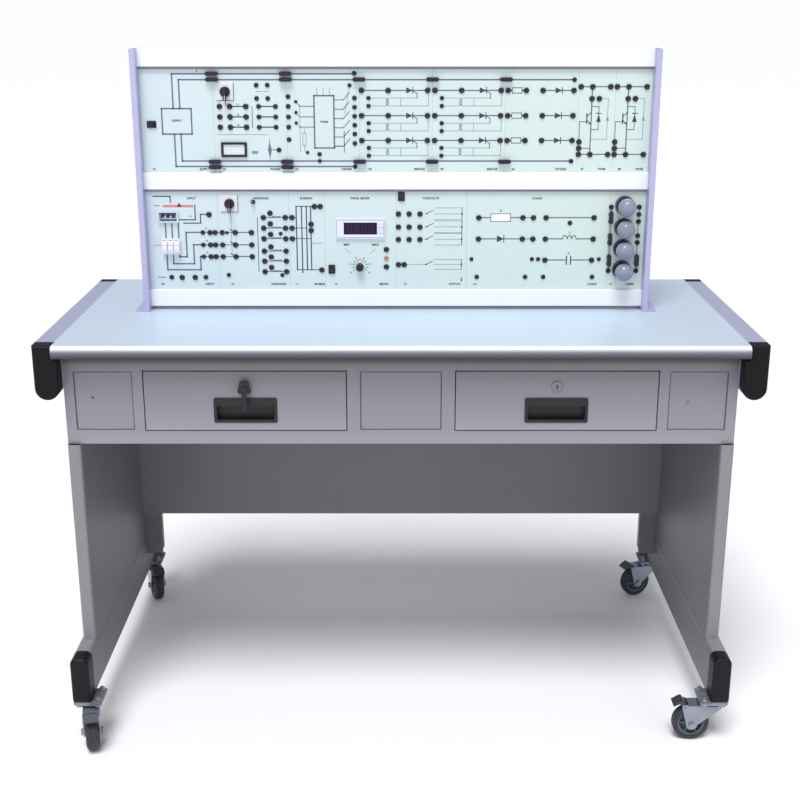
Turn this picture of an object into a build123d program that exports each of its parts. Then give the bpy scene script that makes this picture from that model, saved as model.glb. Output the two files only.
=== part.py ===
from build123d import *
import math
import os

# Power electronics trainer: a steel desk on four swivel castors that carries a two-row rack of
# training modules. Millimetres, +Z up, the user sits on the -Y side. The origin is on the floor
# under the middle of the whole object's box.

# Desk top and side rails
OVERALL_LENGTH = 1500.0
DESK_HEIGHT = 880.0
DESKTOP_DEPTH = 656.0
DESKTOP_THICKNESS = 28.0
DESKTOP_FORWARD = 7.0
NOSE_TOP_RADIUS = 13.5
NOSE_BOTTOM_RADIUS = 8.0
RAIL_LENGTH = 656.0
RAIL_WIDTH = 50.0
RAIL_HEIGHT = 116.0
RAIL_WALL = 3.0
RAIL_LEDGE = 10.0
RAIL_CAP_LENGTH = 34.0
SPIGOT_LENGTH = 14.0
SPIGOT_GAP = 0.2

# Side frames: panel, foot bar, rear flange and castor pads
FRAME_INSET = 50.0
PANEL_THICKNESS = 29.0
PANEL_DEPTH = 600.0
PANEL_EDGE_RADIUS = 7.0
SHEET = 1.5
FOOT_LENGTH = 788.0
FOOT_WIDTH = 40.0
FOOT_TOP_RADIUS = 14.0
FOOT_BOTTOM_RADIUS = 4.0
FOOT_WALL = 2.0
FOOT_CAP_LENGTH = 40.0
FOOT_OVERHANG = 8.0
CAP_EDGE_RADIUS = 6.0
FLANGE_WIDTH = 43.0
FLANGE_DEPTH = 20.0
FLANGE_RISE = 48.0
FLANGE_CORNER = 14.0
FOOT_HEIGHT = 104.0

# Apron, drawers and the housing behind them
APRON_LOWER_RAIL = 28.0
APRON_THICKNESS = 18.0
APRON_SETBACK = 45.0
APRON_SIDE_MARGIN = 21.0
APRON_SHEET = 2.0
BLANK_RECESS = 3.0
MIDDLE_BLANK_WIDTH = 170.0
INNER_MULLION = 27.0
OUTER_MULLION = 21.0
OPENING_WIDTH = 424.0
OPENING_HEIGHT = 132.0
OPENING_DROP = 34.0
FRONT_GAP = 2.0
RIM = 2.0
DRAWER_DEPTH = 440.0
DRAWER_WALL_HEIGHT = 78.0
RUNNER_SPACE = 13.0
RUNNER_HEIGHT = 40.0
RUNNER_DEPTH = 10.0
RUNNER_LIP = 3.0
RUNNER_PLAY = 1.0
PARTITION_PLAY = 1.0
PULL_WIDTH = 132.0
PULL_HEIGHT = 54.0
PULL_RISE = 19.0
PULL_BORDER = 4.0
PULL_CUP_DEPTH = 15.0
PULL_WALL = 2.0
GRIP_LIP = 11.0
LOCK_DROP = 35.0
LOCK_BARREL_RADIUS = 9.5
LOCK_RIM_RADIUS = 12.5
LOCK_PLUG_RADIUS = 6.5
LOCK_LENGTH = 20.0
CAM_LENGTH = 44.0
CAM_WIDTH = 8.0
KEYWAY_WIDTH = 2.4
KEYWAY_HEIGHT = 9.0
KEYWAY_DEPTH = 14.0
KEY_BLADE_LENGTH = 12.0
KEY_BLADE_THICKNESS = 2.0
KEY_STANDOFF = 7.0
BOW_WIDTH = 32.0
BOW_HEIGHT = 27.0
BOW_THICKNESS = 5.0
BOW_RISE = 2.0
RING_HOLE_RADIUS = 2.2
SPARE_KEY_LENGTH = 52.0
SPARE_KEY_WIDTH = 10.0
SPARE_KEY_THICKNESS = 2.4
SHAFT_CLEARANCE = 0.05
MODESTY_BOTTOM = 270.0
MODESTY_DEPTH = 15.0

# Castors
WHEEL_RADIUS = 40.0
WHEEL_WIDTH = 26.0
TYRE_SHOULDER = 6.0
TYRE_INNER_RADIUS = 30.0
AXLE_RADIUS = 4.0
CASTOR_TRAIL = 42.0
SWIVEL_SIDE_INSET = 74.0
SWIVEL_END_INSET = 31.0
PAD_LENGTH = 60.0
PAD_DEPTH = 62.0
PAD_THICKNESS = 4.0
TOP_PLATE_THICKNESS = 3.0
SWIVEL_HEAD_HEIGHT = 14.0
FORK_INNER = 15.5
FORK_SHEET = 2.5
HOOD_CLEARANCE = 3.0
HOOD_SHEET = 3.0
RACE_RADIUS = 18.0
CUP_RADIUS = 22.0
CUP_RISE = 2.0
CUP_TAPER = 10.0
RUNNING_GAP = 0.3
KING_PIN_RADIUS = 5.0
BOLT_RADIUS = 4.0
BOLT_SPREAD_X = 20.0
BOLT_SPREAD_Y = 22.0
BOLT_HEX_RADIUS = 7.5
BOLT_HEX_HEIGHT = 5.5
BOLT_WELL = 14.0
PEDAL_PIN_REACH = 58.0
PEDAL_PIN_DROP = 3.5
PEDAL_PIN_RADIUS = 2.0
PEDAL_LENGTH = 26.0
PEDAL_OUTLINE = ((-5, 1.5), (5, 13.5), (9, 14), (26, 3.5), (25, 0.5), (8, 9), (4, -6), (-3, -2.5))
EAR_REACH = 6.0
EAR_HEIGHT = 5.5
EAR_DROP = 4.0
HOOD_SETBACK = 8.0

# Parked direction of each castor, in degrees from straight ahead towards the desk's middle
CASTORS = {
    "front_left": (-1, -1, 12.0),
    "front_right": (1, -1, 90.0),
    "rear_left": (-1, 1, 22.0),
    "rear_right": (1, 1, 68.0),
}

# Rack
MODULE_WIDTH = 158.0
MODULE_HEIGHT = 224.0
MODULE_GAP = 0.6
UPPER_ROW = (1, 1, 1, 1, 1, 1, 0.5, 0.5)
LOWER_ROW = (1, 1, 0.5, 1, 1, 2, 0.5)
RACK_CENTRE_X = -11.0
RACK_SETBACK = -8.0
RACK_RAIL_HEIGHT = 38.0
RACK_RAIL_DEPTH = 28.0
RACK_RAIL_WALL = 2.0
RACK_RAIL_LIP = 7.0
RACK_GROUND_GAP = 8.0
POST_WIDTH = 13.0
POST_DEPTH = 60.0
POST_PROUD = 20.0
POST_WALL = 2.0
POST_FOOT_WIDTH = 46.0
POST_FOOT_DEPTH = 190.0
POST_FOOT_THICKNESS = 6.0
POST_FOOT_TOE = 4.0
PLATE_THICKNESS = 3.0
PLATE_RECESS = 6.0
CASE_DEPTH = 90.0
CASE_WALL = 2.5
CASE_SIDE_GAP = 2.0
CASE_END_GAP = 3.0
VENT_LENGTH = 60.0
VENT_HEIGHT = 4.0
VENT_PITCH = 14.0
VENT_COUNT = 5

# Controls, placed by (x from the rack's middle, z from their row's lower edge)
UPPER_SELECTOR = (-368.0, 172.0)
LOWER_SELECTOR = (-368.0, 193.0)
SELECTOR_PLATE = 38.0
SELECTOR_PLATE_THICKNESS = 1.5
KNOB_SHAFT_RADIUS = 3.0
SELECTOR_RADIUS = 11.0
SELECTOR_BASE_HEIGHT = 5.0
POINTER_LENGTH = 19.0
POINTER_WIDTH = 6.5
POINTER_HEIGHT = 8.0
POTENTIOMETER = (-81.0, 51.0)
POTENTIOMETER_RADIUS = 9.0
POTENTIOMETER_HEIGHT = 14.0
POTENTIOMETER_TAPER = 4.0
SHAFT_TAIL = 12.0
UPPER_ROCKER = (-530.0, 103.0)
LOWER_ROCKER_A = (-144.0, 46.0)
LOWER_ROCKER_B = (12.0, 209.0)
ROCKER_LONG = 20.0
ROCKER_SHORT = 15.0
ROCKER_RIM = 1.8
ROCKER_PROUD = 3.0
ROCKER_BODY_DEPTH = 12.0
ROCKER_END_PLAY = 1.0
ROCKER_SIDE_PLAY = 0.3
ROCKER_TILT = 8.0
ROCKER_PIN_RADIUS = 1.0
ROCKER_BAY_MARGIN = 2.0
ROCKER_ROOT = 2.0
ROCKER_DIP = 3.0
ROCKER_HORN = 4.5
BREAKER = (-505.0, 164.0)
BREAKER_WIDTH = 46.0
BREAKER_HEIGHT = 26.0
BREAKER_PROUD = 5.0
BREAKER_BODY_DEPTH = 14.0
BREAKER_SLOT_WIDTH = 38.0
BREAKER_SLOT_HEIGHT = 18.0
BREAKER_HUB_RADIUS = 7.0
BREAKER_PIVOT_DEPTH = 3.0
BREAKER_POLES = 3
BREAKER_POLE_PITCH = 12.6
BREAKER_PADDLE_WIDTH = 10.5
BREAKER_SLOT_MARGIN = 2.0
BREAKER_ROOT = 5.0
BREAKER_TIP_RISE = 3.0
BREAKER_TIP_DROP = 2.0
BREAKER_TIE = 4.0
BREAKER_REACH = 15.0
BREAKER_TILT = 20.0
BREAKER_PIN_RADIUS = 1.5
TOGGLE = (-316.0, 197.0)
TOGGLE_NUT_RADIUS = 5.5
TOGGLE_NUT_HEIGHT = 2.0
TOGGLE_BUSH_RADIUS = 4.2
TOGGLE_BUSH_BORE = 3.2
TOGGLE_BUSH_HEIGHT = 6.0
TOGGLE_BALL_RADIUS = 2.9
TOGGLE_LENGTH = 15.0
TOGGLE_TILT = 12.0
TOGGLE_NECK_RADIUS = 1.2
TOGGLE_FLARE = 3.0
TOGGLE_TIP_ROUND = 0.8
FUSES = (-501.0, 98.0)
FUSE_COUNT = 3
FUSE_WIDTH = 13.0
FUSE_PITCH = 13.4
FUSE_HEIGHT = 35.0
FUSE_CAP_HEIGHT = 21.0
FUSE_PROUD = 15.0
UPPER_METER = (-353.0, 49.0)
UPPER_METER_SIZE = (56.0, 32.0)
UPPER_WINDOW_SIZE = (46.0, 22.0)
LOWER_METER = (-79.0, 138.0)
LOWER_METER_SIZE = (111.0, 45.0)
LOWER_WINDOW_SIZE = (74.0, 27.0)
METER_PROUD = 5.0
WINDOW_THICKNESS = 2.0
LAMP_X = 506.0
LAMP_HEIGHTS = (45.0, 93.0, 140.0, 189.0)
LAMP_HOLDER_RADIUS = 21.5
LAMP_HOLDER_HEIGHT = 14.0
LAMP_HOLDER_TAPER = 6.0
LAMP_HOLDER_BORE = 14.0
LAMP_HOLDER_FLOOR = 4.0
LAMP_NECK_RADIUS = 13.5
GLOBE_RADIUS = 20.0
GLOBE_STANDOFF = 34.0
LINK_LENGTH = 28.0
LINK_WIDTH = 9.0
LINK_THICKNESS = 6.0
LINK_STANDOFF = 4.0
LINK_PIN_RADIUS = 2.0
LINK_PIN_SPREAD = 9.5
OUTER_BUS_HEIGHTS = (12.0, 210.0)
INNER_BUS_HEIGHTS = (23.5, 198.0)
LAMP_LINKS = ((-29.7, 163.0), (-29.7, 114.5), (-29.7, 67.0), (32.2, 67.0))
GLAND_RADIUS = 13.0
GLAND_LENGTH = 24.0
GLAND_TAPER = 8.0
GLAND_BORE = 5.0
GLAND_HEIGHT = 40.0

# Places that follow from the sizes
desktop_length = OVERALL_LENGTH - 2 * (RAIL_WIDTH - RAIL_LEDGE)
desktop_underside = DESK_HEIGHT - DESKTOP_THICKNESS
opening_bottom = desktop_underside - OPENING_DROP - OPENING_HEIGHT
apron_bottom = opening_bottom - APRON_LOWER_RAIL
pull_bottom = opening_bottom + PULL_RISE
lock_z = opening_bottom + OPENING_HEIGHT - LOCK_DROP
hood_top = 2 * WHEEL_RADIUS + HOOD_CLEARANCE + HOOD_SHEET
cup_bottom = hood_top + CUP_RISE
pedal_pin_z = hood_top - PEDAL_PIN_DROP
pad_top = cup_bottom + SWIVEL_HEAD_HEIGHT
foot_top = pad_top + FOOT_HEIGHT
flange_bottom = pad_top + FLANGE_RISE
panel_outer = OVERALL_LENGTH / 2 - FRAME_INSET
panel_inner = panel_outer - PANEL_THICKNESS
foot_centre = panel_outer + FOOT_OVERHANG - FOOT_WIDTH / 2
swivel_x = OVERALL_LENGTH / 2 - SWIVEL_SIDE_INSET
swivel_y = FOOT_LENGTH / 2 - SWIVEL_END_INSET
front_yaw = math.radians(CASTORS["front_left"][2])
pedal_half = FORK_INNER - RUNNING_GAP
pedal_reach = (PEDAL_PIN_REACH + PEDAL_LENGTH) * math.cos(front_yaw) + pedal_half * math.sin(front_yaw)
desk_y = (swivel_y + pedal_reach - FOOT_LENGTH / 2) / 2
panel_front = desk_y - PANEL_DEPTH / 2
panel_rear = desk_y + PANEL_DEPTH / 2
apron_front = desk_y - DESKTOP_DEPTH / 2 - DESKTOP_FORWARD + APRON_SETBACK
apron_rear = apron_front + APRON_THICKNESS
modesty_front = panel_rear - FLANGE_DEPTH - MODESTY_DEPTH
drawer_x = MIDDLE_BLANK_WIDTH / 2 + INNER_MULLION + OPENING_WIDTH / 2
bay_half = OPENING_WIDTH / 2 + PARTITION_PLAY
key_x = -drawer_x
bow_back = apron_front - RIM - KEY_STANDOFF
spare_front = bow_back - BOW_THICKNESS - SPARE_KEY_THICKNESS - 2 * RUNNING_GAP
plate_bottom = pad_top - PAD_THICKNESS - TOP_PLATE_THICKNESS
rack_front = desk_y + RACK_SETBACK
plate_front = rack_front + PLATE_RECESS
post_front = rack_front - POST_PROUD
row_length = sum(UPPER_ROW) * MODULE_WIDTH
breaker_bay_width = BREAKER_SLOT_WIDTH + 2 * BREAKER_SLOT_MARGIN
breaker_bay_height = BREAKER_SLOT_HEIGHT + 2 * BREAKER_SLOT_MARGIN
rocker_bay_long = ROCKER_LONG - 2 * ROCKER_RIM + ROCKER_BAY_MARGIN
rocker_bay_short = ROCKER_SHORT - 2 * ROCKER_RIM + ROCKER_BAY_MARGIN
lower_row_z = DESK_HEIGHT + RACK_GROUND_GAP + RACK_RAIL_HEIGHT
upper_row_z = lower_row_z + MODULE_HEIGHT + RACK_RAIL_HEIGHT
rack_top = upper_row_z + MODULE_HEIGHT + RACK_RAIL_HEIGHT


def facing(y):
    """Vertical sketch plane at depth y that looks at the user; negative extrusions go back."""
    return Plane.XZ.offset(-y)


def hand_over(builder, label):
    """Label a finished piece and write it."""
    builder.part.label = label
    export_step(builder.part, f"parts/{label}.step")


def side_name(side):
    """Word for the left (-1) or right (+1) side."""
    return "left" if side < 0 else "right"


def draw_rail_section(side, shrink):
    """Side rail's outline: flat top, round bottom and a ledge that takes the board's edge."""
    width = RAIL_WIDTH - 2 * shrink
    x = side * (OVERALL_LENGTH - RAIL_WIDTH) / 2
    arc_z = DESK_HEIGHT - RAIL_HEIGHT + RAIL_WIDTH / 2
    top = DESK_HEIGHT - shrink
    with Locations((x, (top + arc_z) / 2)):
        Rectangle(width, top - arc_z)
    with Locations((x, arc_z)):
        Circle(width / 2)
    with Locations((side * (desktop_length / 2 + shrink), top)):
        Rectangle(
            2 * RAIL_LEDGE,
            2 * DESKTOP_THICKNESS,
            align=(side_align(side), Align.CENTER),
            mode=Mode.SUBTRACT,
        )


def side_align(side):
    """Alignment that grows a shape from its point towards the desk's middle."""
    return Align.MAX if side > 0 else Align.MIN


def draw_foot_section(side, shrink):
    """Foot bar's outline: a tube with a rounded top and slightly rounded bottom."""
    x = side * foot_centre
    height = foot_top - pad_top
    with BuildSketch(mode=Mode.PRIVATE) as section:
        with Locations((x, pad_top + height / 2)):
            Rectangle(FOOT_WIDTH - 2 * shrink, height - 2 * shrink)
        rows = section.vertices().group_by(Axis.Y)
        fillet(rows[-1], FOOT_TOP_RADIUS - shrink)
        rows = section.vertices().group_by(Axis.Y)
        fillet(rows[0], FOOT_BOTTOM_RADIUS - shrink)
    add(section.sketch)


def desktop_board():
    """Laminated board with a post-formed front edge."""
    middle = desk_y - DESKTOP_FORWARD
    with BuildPart() as desktop:
        with BuildSketch(Plane.YZ.offset(-desktop_length / 2)) as profile:
            with Locations((middle, DESK_HEIGHT - DESKTOP_THICKNESS / 2)):
                Rectangle(DESKTOP_DEPTH, DESKTOP_THICKNESS)
            nose = profile.vertices().group_by(Axis.X)[0].sort_by(Axis.Y)
            fillet(nose[-1], NOSE_TOP_RADIUS)
            nose = profile.vertices().group_by(Axis.X)[0].sort_by(Axis.Y)
            fillet(nose[0], NOSE_BOTTOM_RADIUS)
        extrude(amount=desktop_length)
    hand_over(desktop, "desktop")


def side_rail(side):
    """Hollow extrusion that carries one end of the board."""
    length = RAIL_LENGTH - 2 * RAIL_CAP_LENGTH
    start = facing(desk_y - length / 2)
    with BuildPart() as rail:
        with BuildSketch(start):
            draw_rail_section(side, 0)
        extrude(amount=-length)
        with BuildSketch(start):
            draw_rail_section(side, RAIL_WALL)
        extrude(amount=-length, mode=Mode.SUBTRACT)
    hand_over(rail, f"side_rail_{side_name(side)}")


def end_cap(draw_section, side, end, joint_y, length, wall):
    """Plastic cap on a hollow bar: rounded outer end and a spigot inside the bar."""
    with BuildPart() as cap:
        with BuildSketch(facing(joint_y)):
            draw_section(side, 0)
        extrude(amount=-end * length)
        outer_end = cap.faces().sort_by(Axis.Y)[0 if end < 0 else -1]
        fillet(outer_end.edges(), CAP_EDGE_RADIUS)
        with BuildSketch(facing(joint_y)):
            draw_section(side, wall + SPIGOT_GAP)
        extrude(amount=end * SPIGOT_LENGTH)
    return cap.part


def rail_end_caps():
    """Four caps that close the side rails."""
    joint = RAIL_LENGTH / 2 - RAIL_CAP_LENGTH
    with BuildPart() as caps:
        for side in (-1, 1):
            for end in (-1, 1):
                add(end_cap(draw_rail_section, side, end, desk_y + end * joint, RAIL_CAP_LENGTH, RAIL_WALL))
    hand_over(caps, "rail_end_caps")


def foot_end_caps():
    """Four caps that close the foot bars."""
    joint = FOOT_LENGTH / 2 - FOOT_CAP_LENGTH
    with BuildPart() as caps:
        for side in (-1, 1):
            for end in (-1, 1):
                add(end_cap(draw_foot_section, side, end, desk_y + end * joint, FOOT_CAP_LENGTH, FOOT_WALL))
                with BuildSketch(Plane.XY.offset(pad_top)):
                    with Locations(*castor_bolt_points(side, end)):
                        Circle(BOLT_HEX_RADIUS + 1)
                extrude(amount=BOLT_WELL, mode=Mode.SUBTRACT)
    hand_over(caps, "foot_end_caps")


def castor_bolt_points(side, end):
    """Centres of one castor's four fixing bolts."""
    x = side * swivel_x
    y = desk_y + end * swivel_y
    return [(x + i * BOLT_SPREAD_X, y + j * BOLT_SPREAD_Y) for i in (-1, 1) for j in (-1, 1)]


def side_frame(side):
    """Welded side: hollow panel on a foot bar, with a rear flange and two castor pads."""
    bar_length = FOOT_LENGTH - 2 * FOOT_CAP_LENGTH
    panel_x = side * (panel_inner + PANEL_THICKNESS / 2)
    levels = (
        (foot_top - FOOT_TOP_RADIUS, apron_bottom, panel_front),
        (apron_bottom, desktop_underside, apron_rear),
    )
    with BuildPart() as frame:
        for bottom, top, front in levels:
            with BuildSketch(Plane.XY.offset(bottom)) as panel:
                with Locations((panel_x, (front + panel_rear) / 2)):
                    Rectangle(PANEL_THICKNESS, panel_rear - front)
                fillet(panel.vertices(), PANEL_EDGE_RADIUS)
            extrude(amount=top - bottom)
        with BuildSketch(facing(desk_y - bar_length / 2)):
            draw_foot_section(side, 0)
        extrude(amount=-bar_length)
        for bottom, top, front in levels:
            with BuildSketch(Plane.XY.offset(max(bottom, foot_top))) as hollow:
                with Locations((panel_x, (front + panel_rear) / 2)):
                    Rectangle(PANEL_THICKNESS - 2 * SHEET, panel_rear - front - 2 * SHEET)
                fillet(hollow.vertices(), PANEL_EDGE_RADIUS - SHEET)
            extrude(amount=top - max(bottom, foot_top), mode=Mode.SUBTRACT)
        flange_centre = (side * (panel_inner - FLANGE_WIDTH / 2), (flange_bottom + desktop_underside) / 2)
        with BuildSketch(facing(panel_rear - FLANGE_DEPTH)) as flange:
            with Locations(flange_centre):
                Rectangle(FLANGE_WIDTH, desktop_underside - flange_bottom)
            low = flange.vertices().group_by(Axis.Y)[0].sort_by(Axis.X)
            fillet(low[0 if side > 0 else -1], FLANGE_CORNER)
        extrude(amount=-SHEET)
        lip_x = side * (panel_inner - FLANGE_WIDTH + SHEET / 2)
        lip_bottom = flange_bottom + FLANGE_CORNER
        with BuildSketch(Plane.XY.offset(lip_bottom)):
            with Locations((lip_x, panel_rear - FLANGE_DEPTH / 2)):
                Rectangle(SHEET, FLANGE_DEPTH)
        extrude(amount=desktop_underside - lip_bottom)
        for end in (-1, 1):
            with BuildSketch(Plane.XY.offset(pad_top - PAD_THICKNESS)):
                with Locations((side * swivel_x, desk_y + end * swivel_y)):
                    Rectangle(PAD_LENGTH, PAD_DEPTH)
            extrude(amount=PAD_THICKNESS)
            with BuildSketch(Plane.XY.offset(pad_top - PAD_THICKNESS)):
                with Locations(*castor_bolt_points(side, end)):
                    Circle(BOLT_RADIUS + RUNNING_GAP)
            extrude(amount=PAD_THICKNESS + FOOT_WALL, mode=Mode.SUBTRACT)
        with BuildSketch(facing(desk_y - bar_length / 2)):
            draw_foot_section(side, FOOT_WALL)
        extrude(amount=-bar_length, mode=Mode.SUBTRACT)
    hand_over(frame, f"side_frame_{side_name(side)}")


def blank_boxes():
    """Middle x and width of the apron's three recessed blanks."""
    opening_outer = drawer_x + OPENING_WIDTH / 2
    width = panel_outer - APRON_SIDE_MARGIN - OUTER_MULLION - opening_outer
    outer_x = opening_outer + OUTER_MULLION + width / 2
    return [(-outer_x, width), (0, MIDDLE_BLANK_WIDTH), (outer_x, width)]


def apron():
    """Pressed front frame: two drawer openings with turned rims and three recessed blanks."""
    height = desktop_underside - apron_bottom
    middle_z = apron_bottom + height / 2
    opening_z = opening_bottom + OPENING_HEIGHT / 2
    blank_height = OPENING_HEIGHT - 2 * FRONT_GAP
    blank_back = BLANK_RECESS + APRON_SHEET
    with BuildPart() as frame:
        with BuildSketch(facing(apron_front)):
            with Locations((0, middle_z)):
                Rectangle(2 * panel_outer, height)
            with Locations((-drawer_x, opening_z), (drawer_x, opening_z)):
                Rectangle(OPENING_WIDTH, OPENING_HEIGHT, mode=Mode.SUBTRACT)
        extrude(amount=-APRON_THICKNESS)
        with BuildSketch(facing(apron_front)):
            for x, width in blank_boxes():
                with Locations((x, opening_z)):
                    RectangleRounded(width, blank_height, RIM)
        extrude(amount=-BLANK_RECESS, mode=Mode.SUBTRACT)
        with BuildSketch(facing(apron_front + APRON_SHEET)):
            with Locations((0, middle_z)):
                Rectangle(2 * (panel_outer - RIM), height - 2 * RIM)
            with Locations((-drawer_x, opening_z), (drawer_x, opening_z)):
                Rectangle(OPENING_WIDTH + 2 * RIM, OPENING_HEIGHT + 2 * RIM, mode=Mode.SUBTRACT)
            for x, width in blank_boxes():
                with Locations((x, opening_z)):
                    Rectangle(width + 2 * RIM, blank_height + 2 * RIM, mode=Mode.SUBTRACT)
        extrude(amount=-APRON_THICKNESS, mode=Mode.SUBTRACT)
        with BuildSketch(facing(apron_front + blank_back)):
            for x, width in blank_boxes():
                with Locations((x, opening_z)):
                    Rectangle(width, blank_height)
        extrude(amount=-APRON_THICKNESS, mode=Mode.SUBTRACT)
    hand_over(frame, "apron_frame")


def drawer_housing():
    """Floor under the drawers and the four upright sheets that carry their runners."""
    depth = modesty_front - apron_rear
    middle_y = (modesty_front + apron_rear) / 2
    with BuildPart() as housing:
        with Locations((0, middle_y, apron_bottom + SHEET / 2)):
            Box(2 * panel_inner, depth, SHEET)
        height = desktop_underside - apron_bottom
        for side in (-1, 1):
            for wall in (-1, 1):
                x = side * drawer_x + wall * (bay_half + SHEET / 2)
                with Locations((x, middle_y, apron_bottom + height / 2)):
                    Box(SHEET, depth, height)
    hand_over(housing, "drawer_housing")


def modesty_panel():
    """Back panel: a sheet folded back along its four edges."""
    height = desktop_underside - MODESTY_BOTTOM
    with BuildPart() as panel:
        with Locations((0, modesty_front + MODESTY_DEPTH / 2, MODESTY_BOTTOM + height / 2)):
            Box(2 * panel_inner, MODESTY_DEPTH, height)
        back = panel.faces().sort_by(Axis.Y)[-1]
        offset(amount=-SHEET, openings=back)
    hand_over(panel, "modesty_panel")


def runner_height():
    """Height of the middle of the drawer runners."""
    return opening_bottom + FRONT_GAP + RUNNER_HEIGHT / 2 + RUNNER_LIP


def runner_channels():
    """Four fixed C channels, open towards their drawer."""
    with BuildPart() as channels:
        for side in (-1, 1):
            for wall in (-1, 1):
                web_x = side * drawer_x + wall * bay_half
                open_x = web_x - wall * RUNNER_DEPTH
                with BuildSketch(facing(apron_rear)):
                    with Locations(((web_x + open_x) / 2, runner_height())):
                        Rectangle(RUNNER_DEPTH, RUNNER_HEIGHT)
                    with Locations(((web_x + open_x) / 2, runner_height())):
                        Rectangle(RUNNER_DEPTH - 2 * SHEET, RUNNER_HEIGHT - 2 * SHEET, mode=Mode.SUBTRACT)
                    with Locations((open_x + wall * SHEET / 2, runner_height())):
                        Rectangle(SHEET, RUNNER_HEIGHT - 2 * SHEET - 2 * RUNNER_LIP, mode=Mode.SUBTRACT)
                extrude(amount=-DRAWER_DEPTH)
    hand_over(channels, "drawer_runner_channels")


def drawer_box(side):
    """Open sheet-steel box with a T runner on each side, seated in the fixed channels."""
    box_width = 2 * (bay_half - RUNNER_SPACE)
    bottom = opening_bottom + FRONT_GAP
    flange_height = RUNNER_HEIGHT - 2 * SHEET - 2 * RUNNER_PLAY
    neck_height = flange_height - 2 * RUNNER_LIP - 2 * RUNNER_PLAY
    neck_inner = RUNNER_SPACE
    flange_outer = SHEET + RUNNER_PLAY
    flange_inner = RUNNER_DEPTH - SHEET - RUNNER_PLAY
    with BuildPart() as box:
        with Locations((side * drawer_x, apron_rear + DRAWER_DEPTH / 2, bottom + DRAWER_WALL_HEIGHT / 2)):
            Box(box_width, DRAWER_DEPTH, DRAWER_WALL_HEIGHT)
        offset(amount=-SHEET, openings=box.faces().sort_by(Axis.Z)[-1])
    with BuildPart() as runners:
        for wall in (-1, 1):
            web_x = side * drawer_x + wall * bay_half
            with BuildSketch(facing(apron_rear + FRONT_GAP)):
                with Locations((web_x - wall * (flange_outer + flange_inner) / 2, runner_height())):
                    Rectangle(flange_inner - flange_outer, flange_height)
                with Locations((web_x - wall * (flange_outer + neck_inner) / 2, runner_height())):
                    Rectangle(neck_inner - flange_outer, neck_height)
            extrude(amount=-(DRAWER_DEPTH - 2 * FRONT_GAP))
    with BuildPart() as drawer:
        add(box.part)
        add(runners.part)
    hand_over(drawer, f"drawer_box_{side_name(side)}")


def front_rectangle():
    """Width, height and middle height of a drawer front."""
    width = OPENING_WIDTH - 2 * FRONT_GAP
    height = OPENING_HEIGHT - 2 * FRONT_GAP
    return width, height, opening_bottom + OPENING_HEIGHT / 2


def drawer_front(side):
    """Pressed drawer front with cut-outs for the recessed pull and the lock."""
    width, height, middle_z = front_rectangle()
    x = side * drawer_x
    pull_z = pull_bottom + PULL_HEIGHT / 2
    with BuildPart() as front:
        with BuildSketch(facing(apron_front)):
            with Locations((x, middle_z)):
                RectangleRounded(width, height, RIM)
        extrude(amount=-APRON_THICKNESS)
        fillet(front.faces().sort_by(Axis.Y)[0].outer_wire().edges(), FRONT_GAP / 2)
        with BuildSketch(facing(apron_front + APRON_SHEET)):
            with Locations((x, middle_z)):
                Rectangle(width - 2 * RIM, height - 2 * RIM)
        extrude(amount=-(APRON_THICKNESS - 2 * APRON_SHEET), mode=Mode.SUBTRACT)
        with BuildSketch(facing(apron_front)):
            with Locations((x, pull_z)):
                Rectangle(PULL_WIDTH - 2 * PULL_BORDER, PULL_HEIGHT - 2 * PULL_BORDER)
            with Locations((x, lock_z)):
                Circle(LOCK_BARREL_RADIUS + SHAFT_CLEARANCE)
        extrude(amount=-APRON_THICKNESS, mode=Mode.SUBTRACT)
    hand_over(front, f"drawer_front_{side_name(side)}")


def drawer_pull(side):
    """Recessed finger pull: a flanged cup with a grip lip across its upper edge."""
    cup_width = PULL_WIDTH - 2 * PULL_BORDER - 2 * RUNNING_GAP
    cup_height = PULL_HEIGHT - 2 * PULL_BORDER - 2 * RUNNING_GAP
    x = side * drawer_x
    z = pull_bottom + PULL_HEIGHT / 2
    with BuildPart() as pull:
        with BuildSketch(facing(apron_front - PULL_WALL)):
            with Locations((x, z)):
                RectangleRounded(PULL_WIDTH, PULL_HEIGHT, PULL_BORDER)
        extrude(amount=-PULL_WALL)
        with BuildSketch(facing(apron_front)):
            with Locations((x, z)):
                Rectangle(cup_width, cup_height)
        extrude(amount=-(PULL_CUP_DEPTH + PULL_WALL))
        with BuildSketch(facing(apron_front)):
            with Locations((x, z)):
                Rectangle(cup_width - 2 * PULL_WALL, cup_height - 2 * PULL_WALL)
        extrude(amount=-PULL_CUP_DEPTH, mode=Mode.SUBTRACT)
        mouth_height = cup_height - 2 * PULL_WALL - GRIP_LIP
        with BuildSketch(facing(apron_front - PULL_WALL)):
            with Locations((x, z - GRIP_LIP / 2)):
                RectangleRounded(cup_width - 2 * PULL_WALL, mouth_height, PULL_WALL)
        extrude(amount=-PULL_WALL, mode=Mode.SUBTRACT)
    hand_over(pull, f"drawer_pull_{side_name(side)}")


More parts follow.
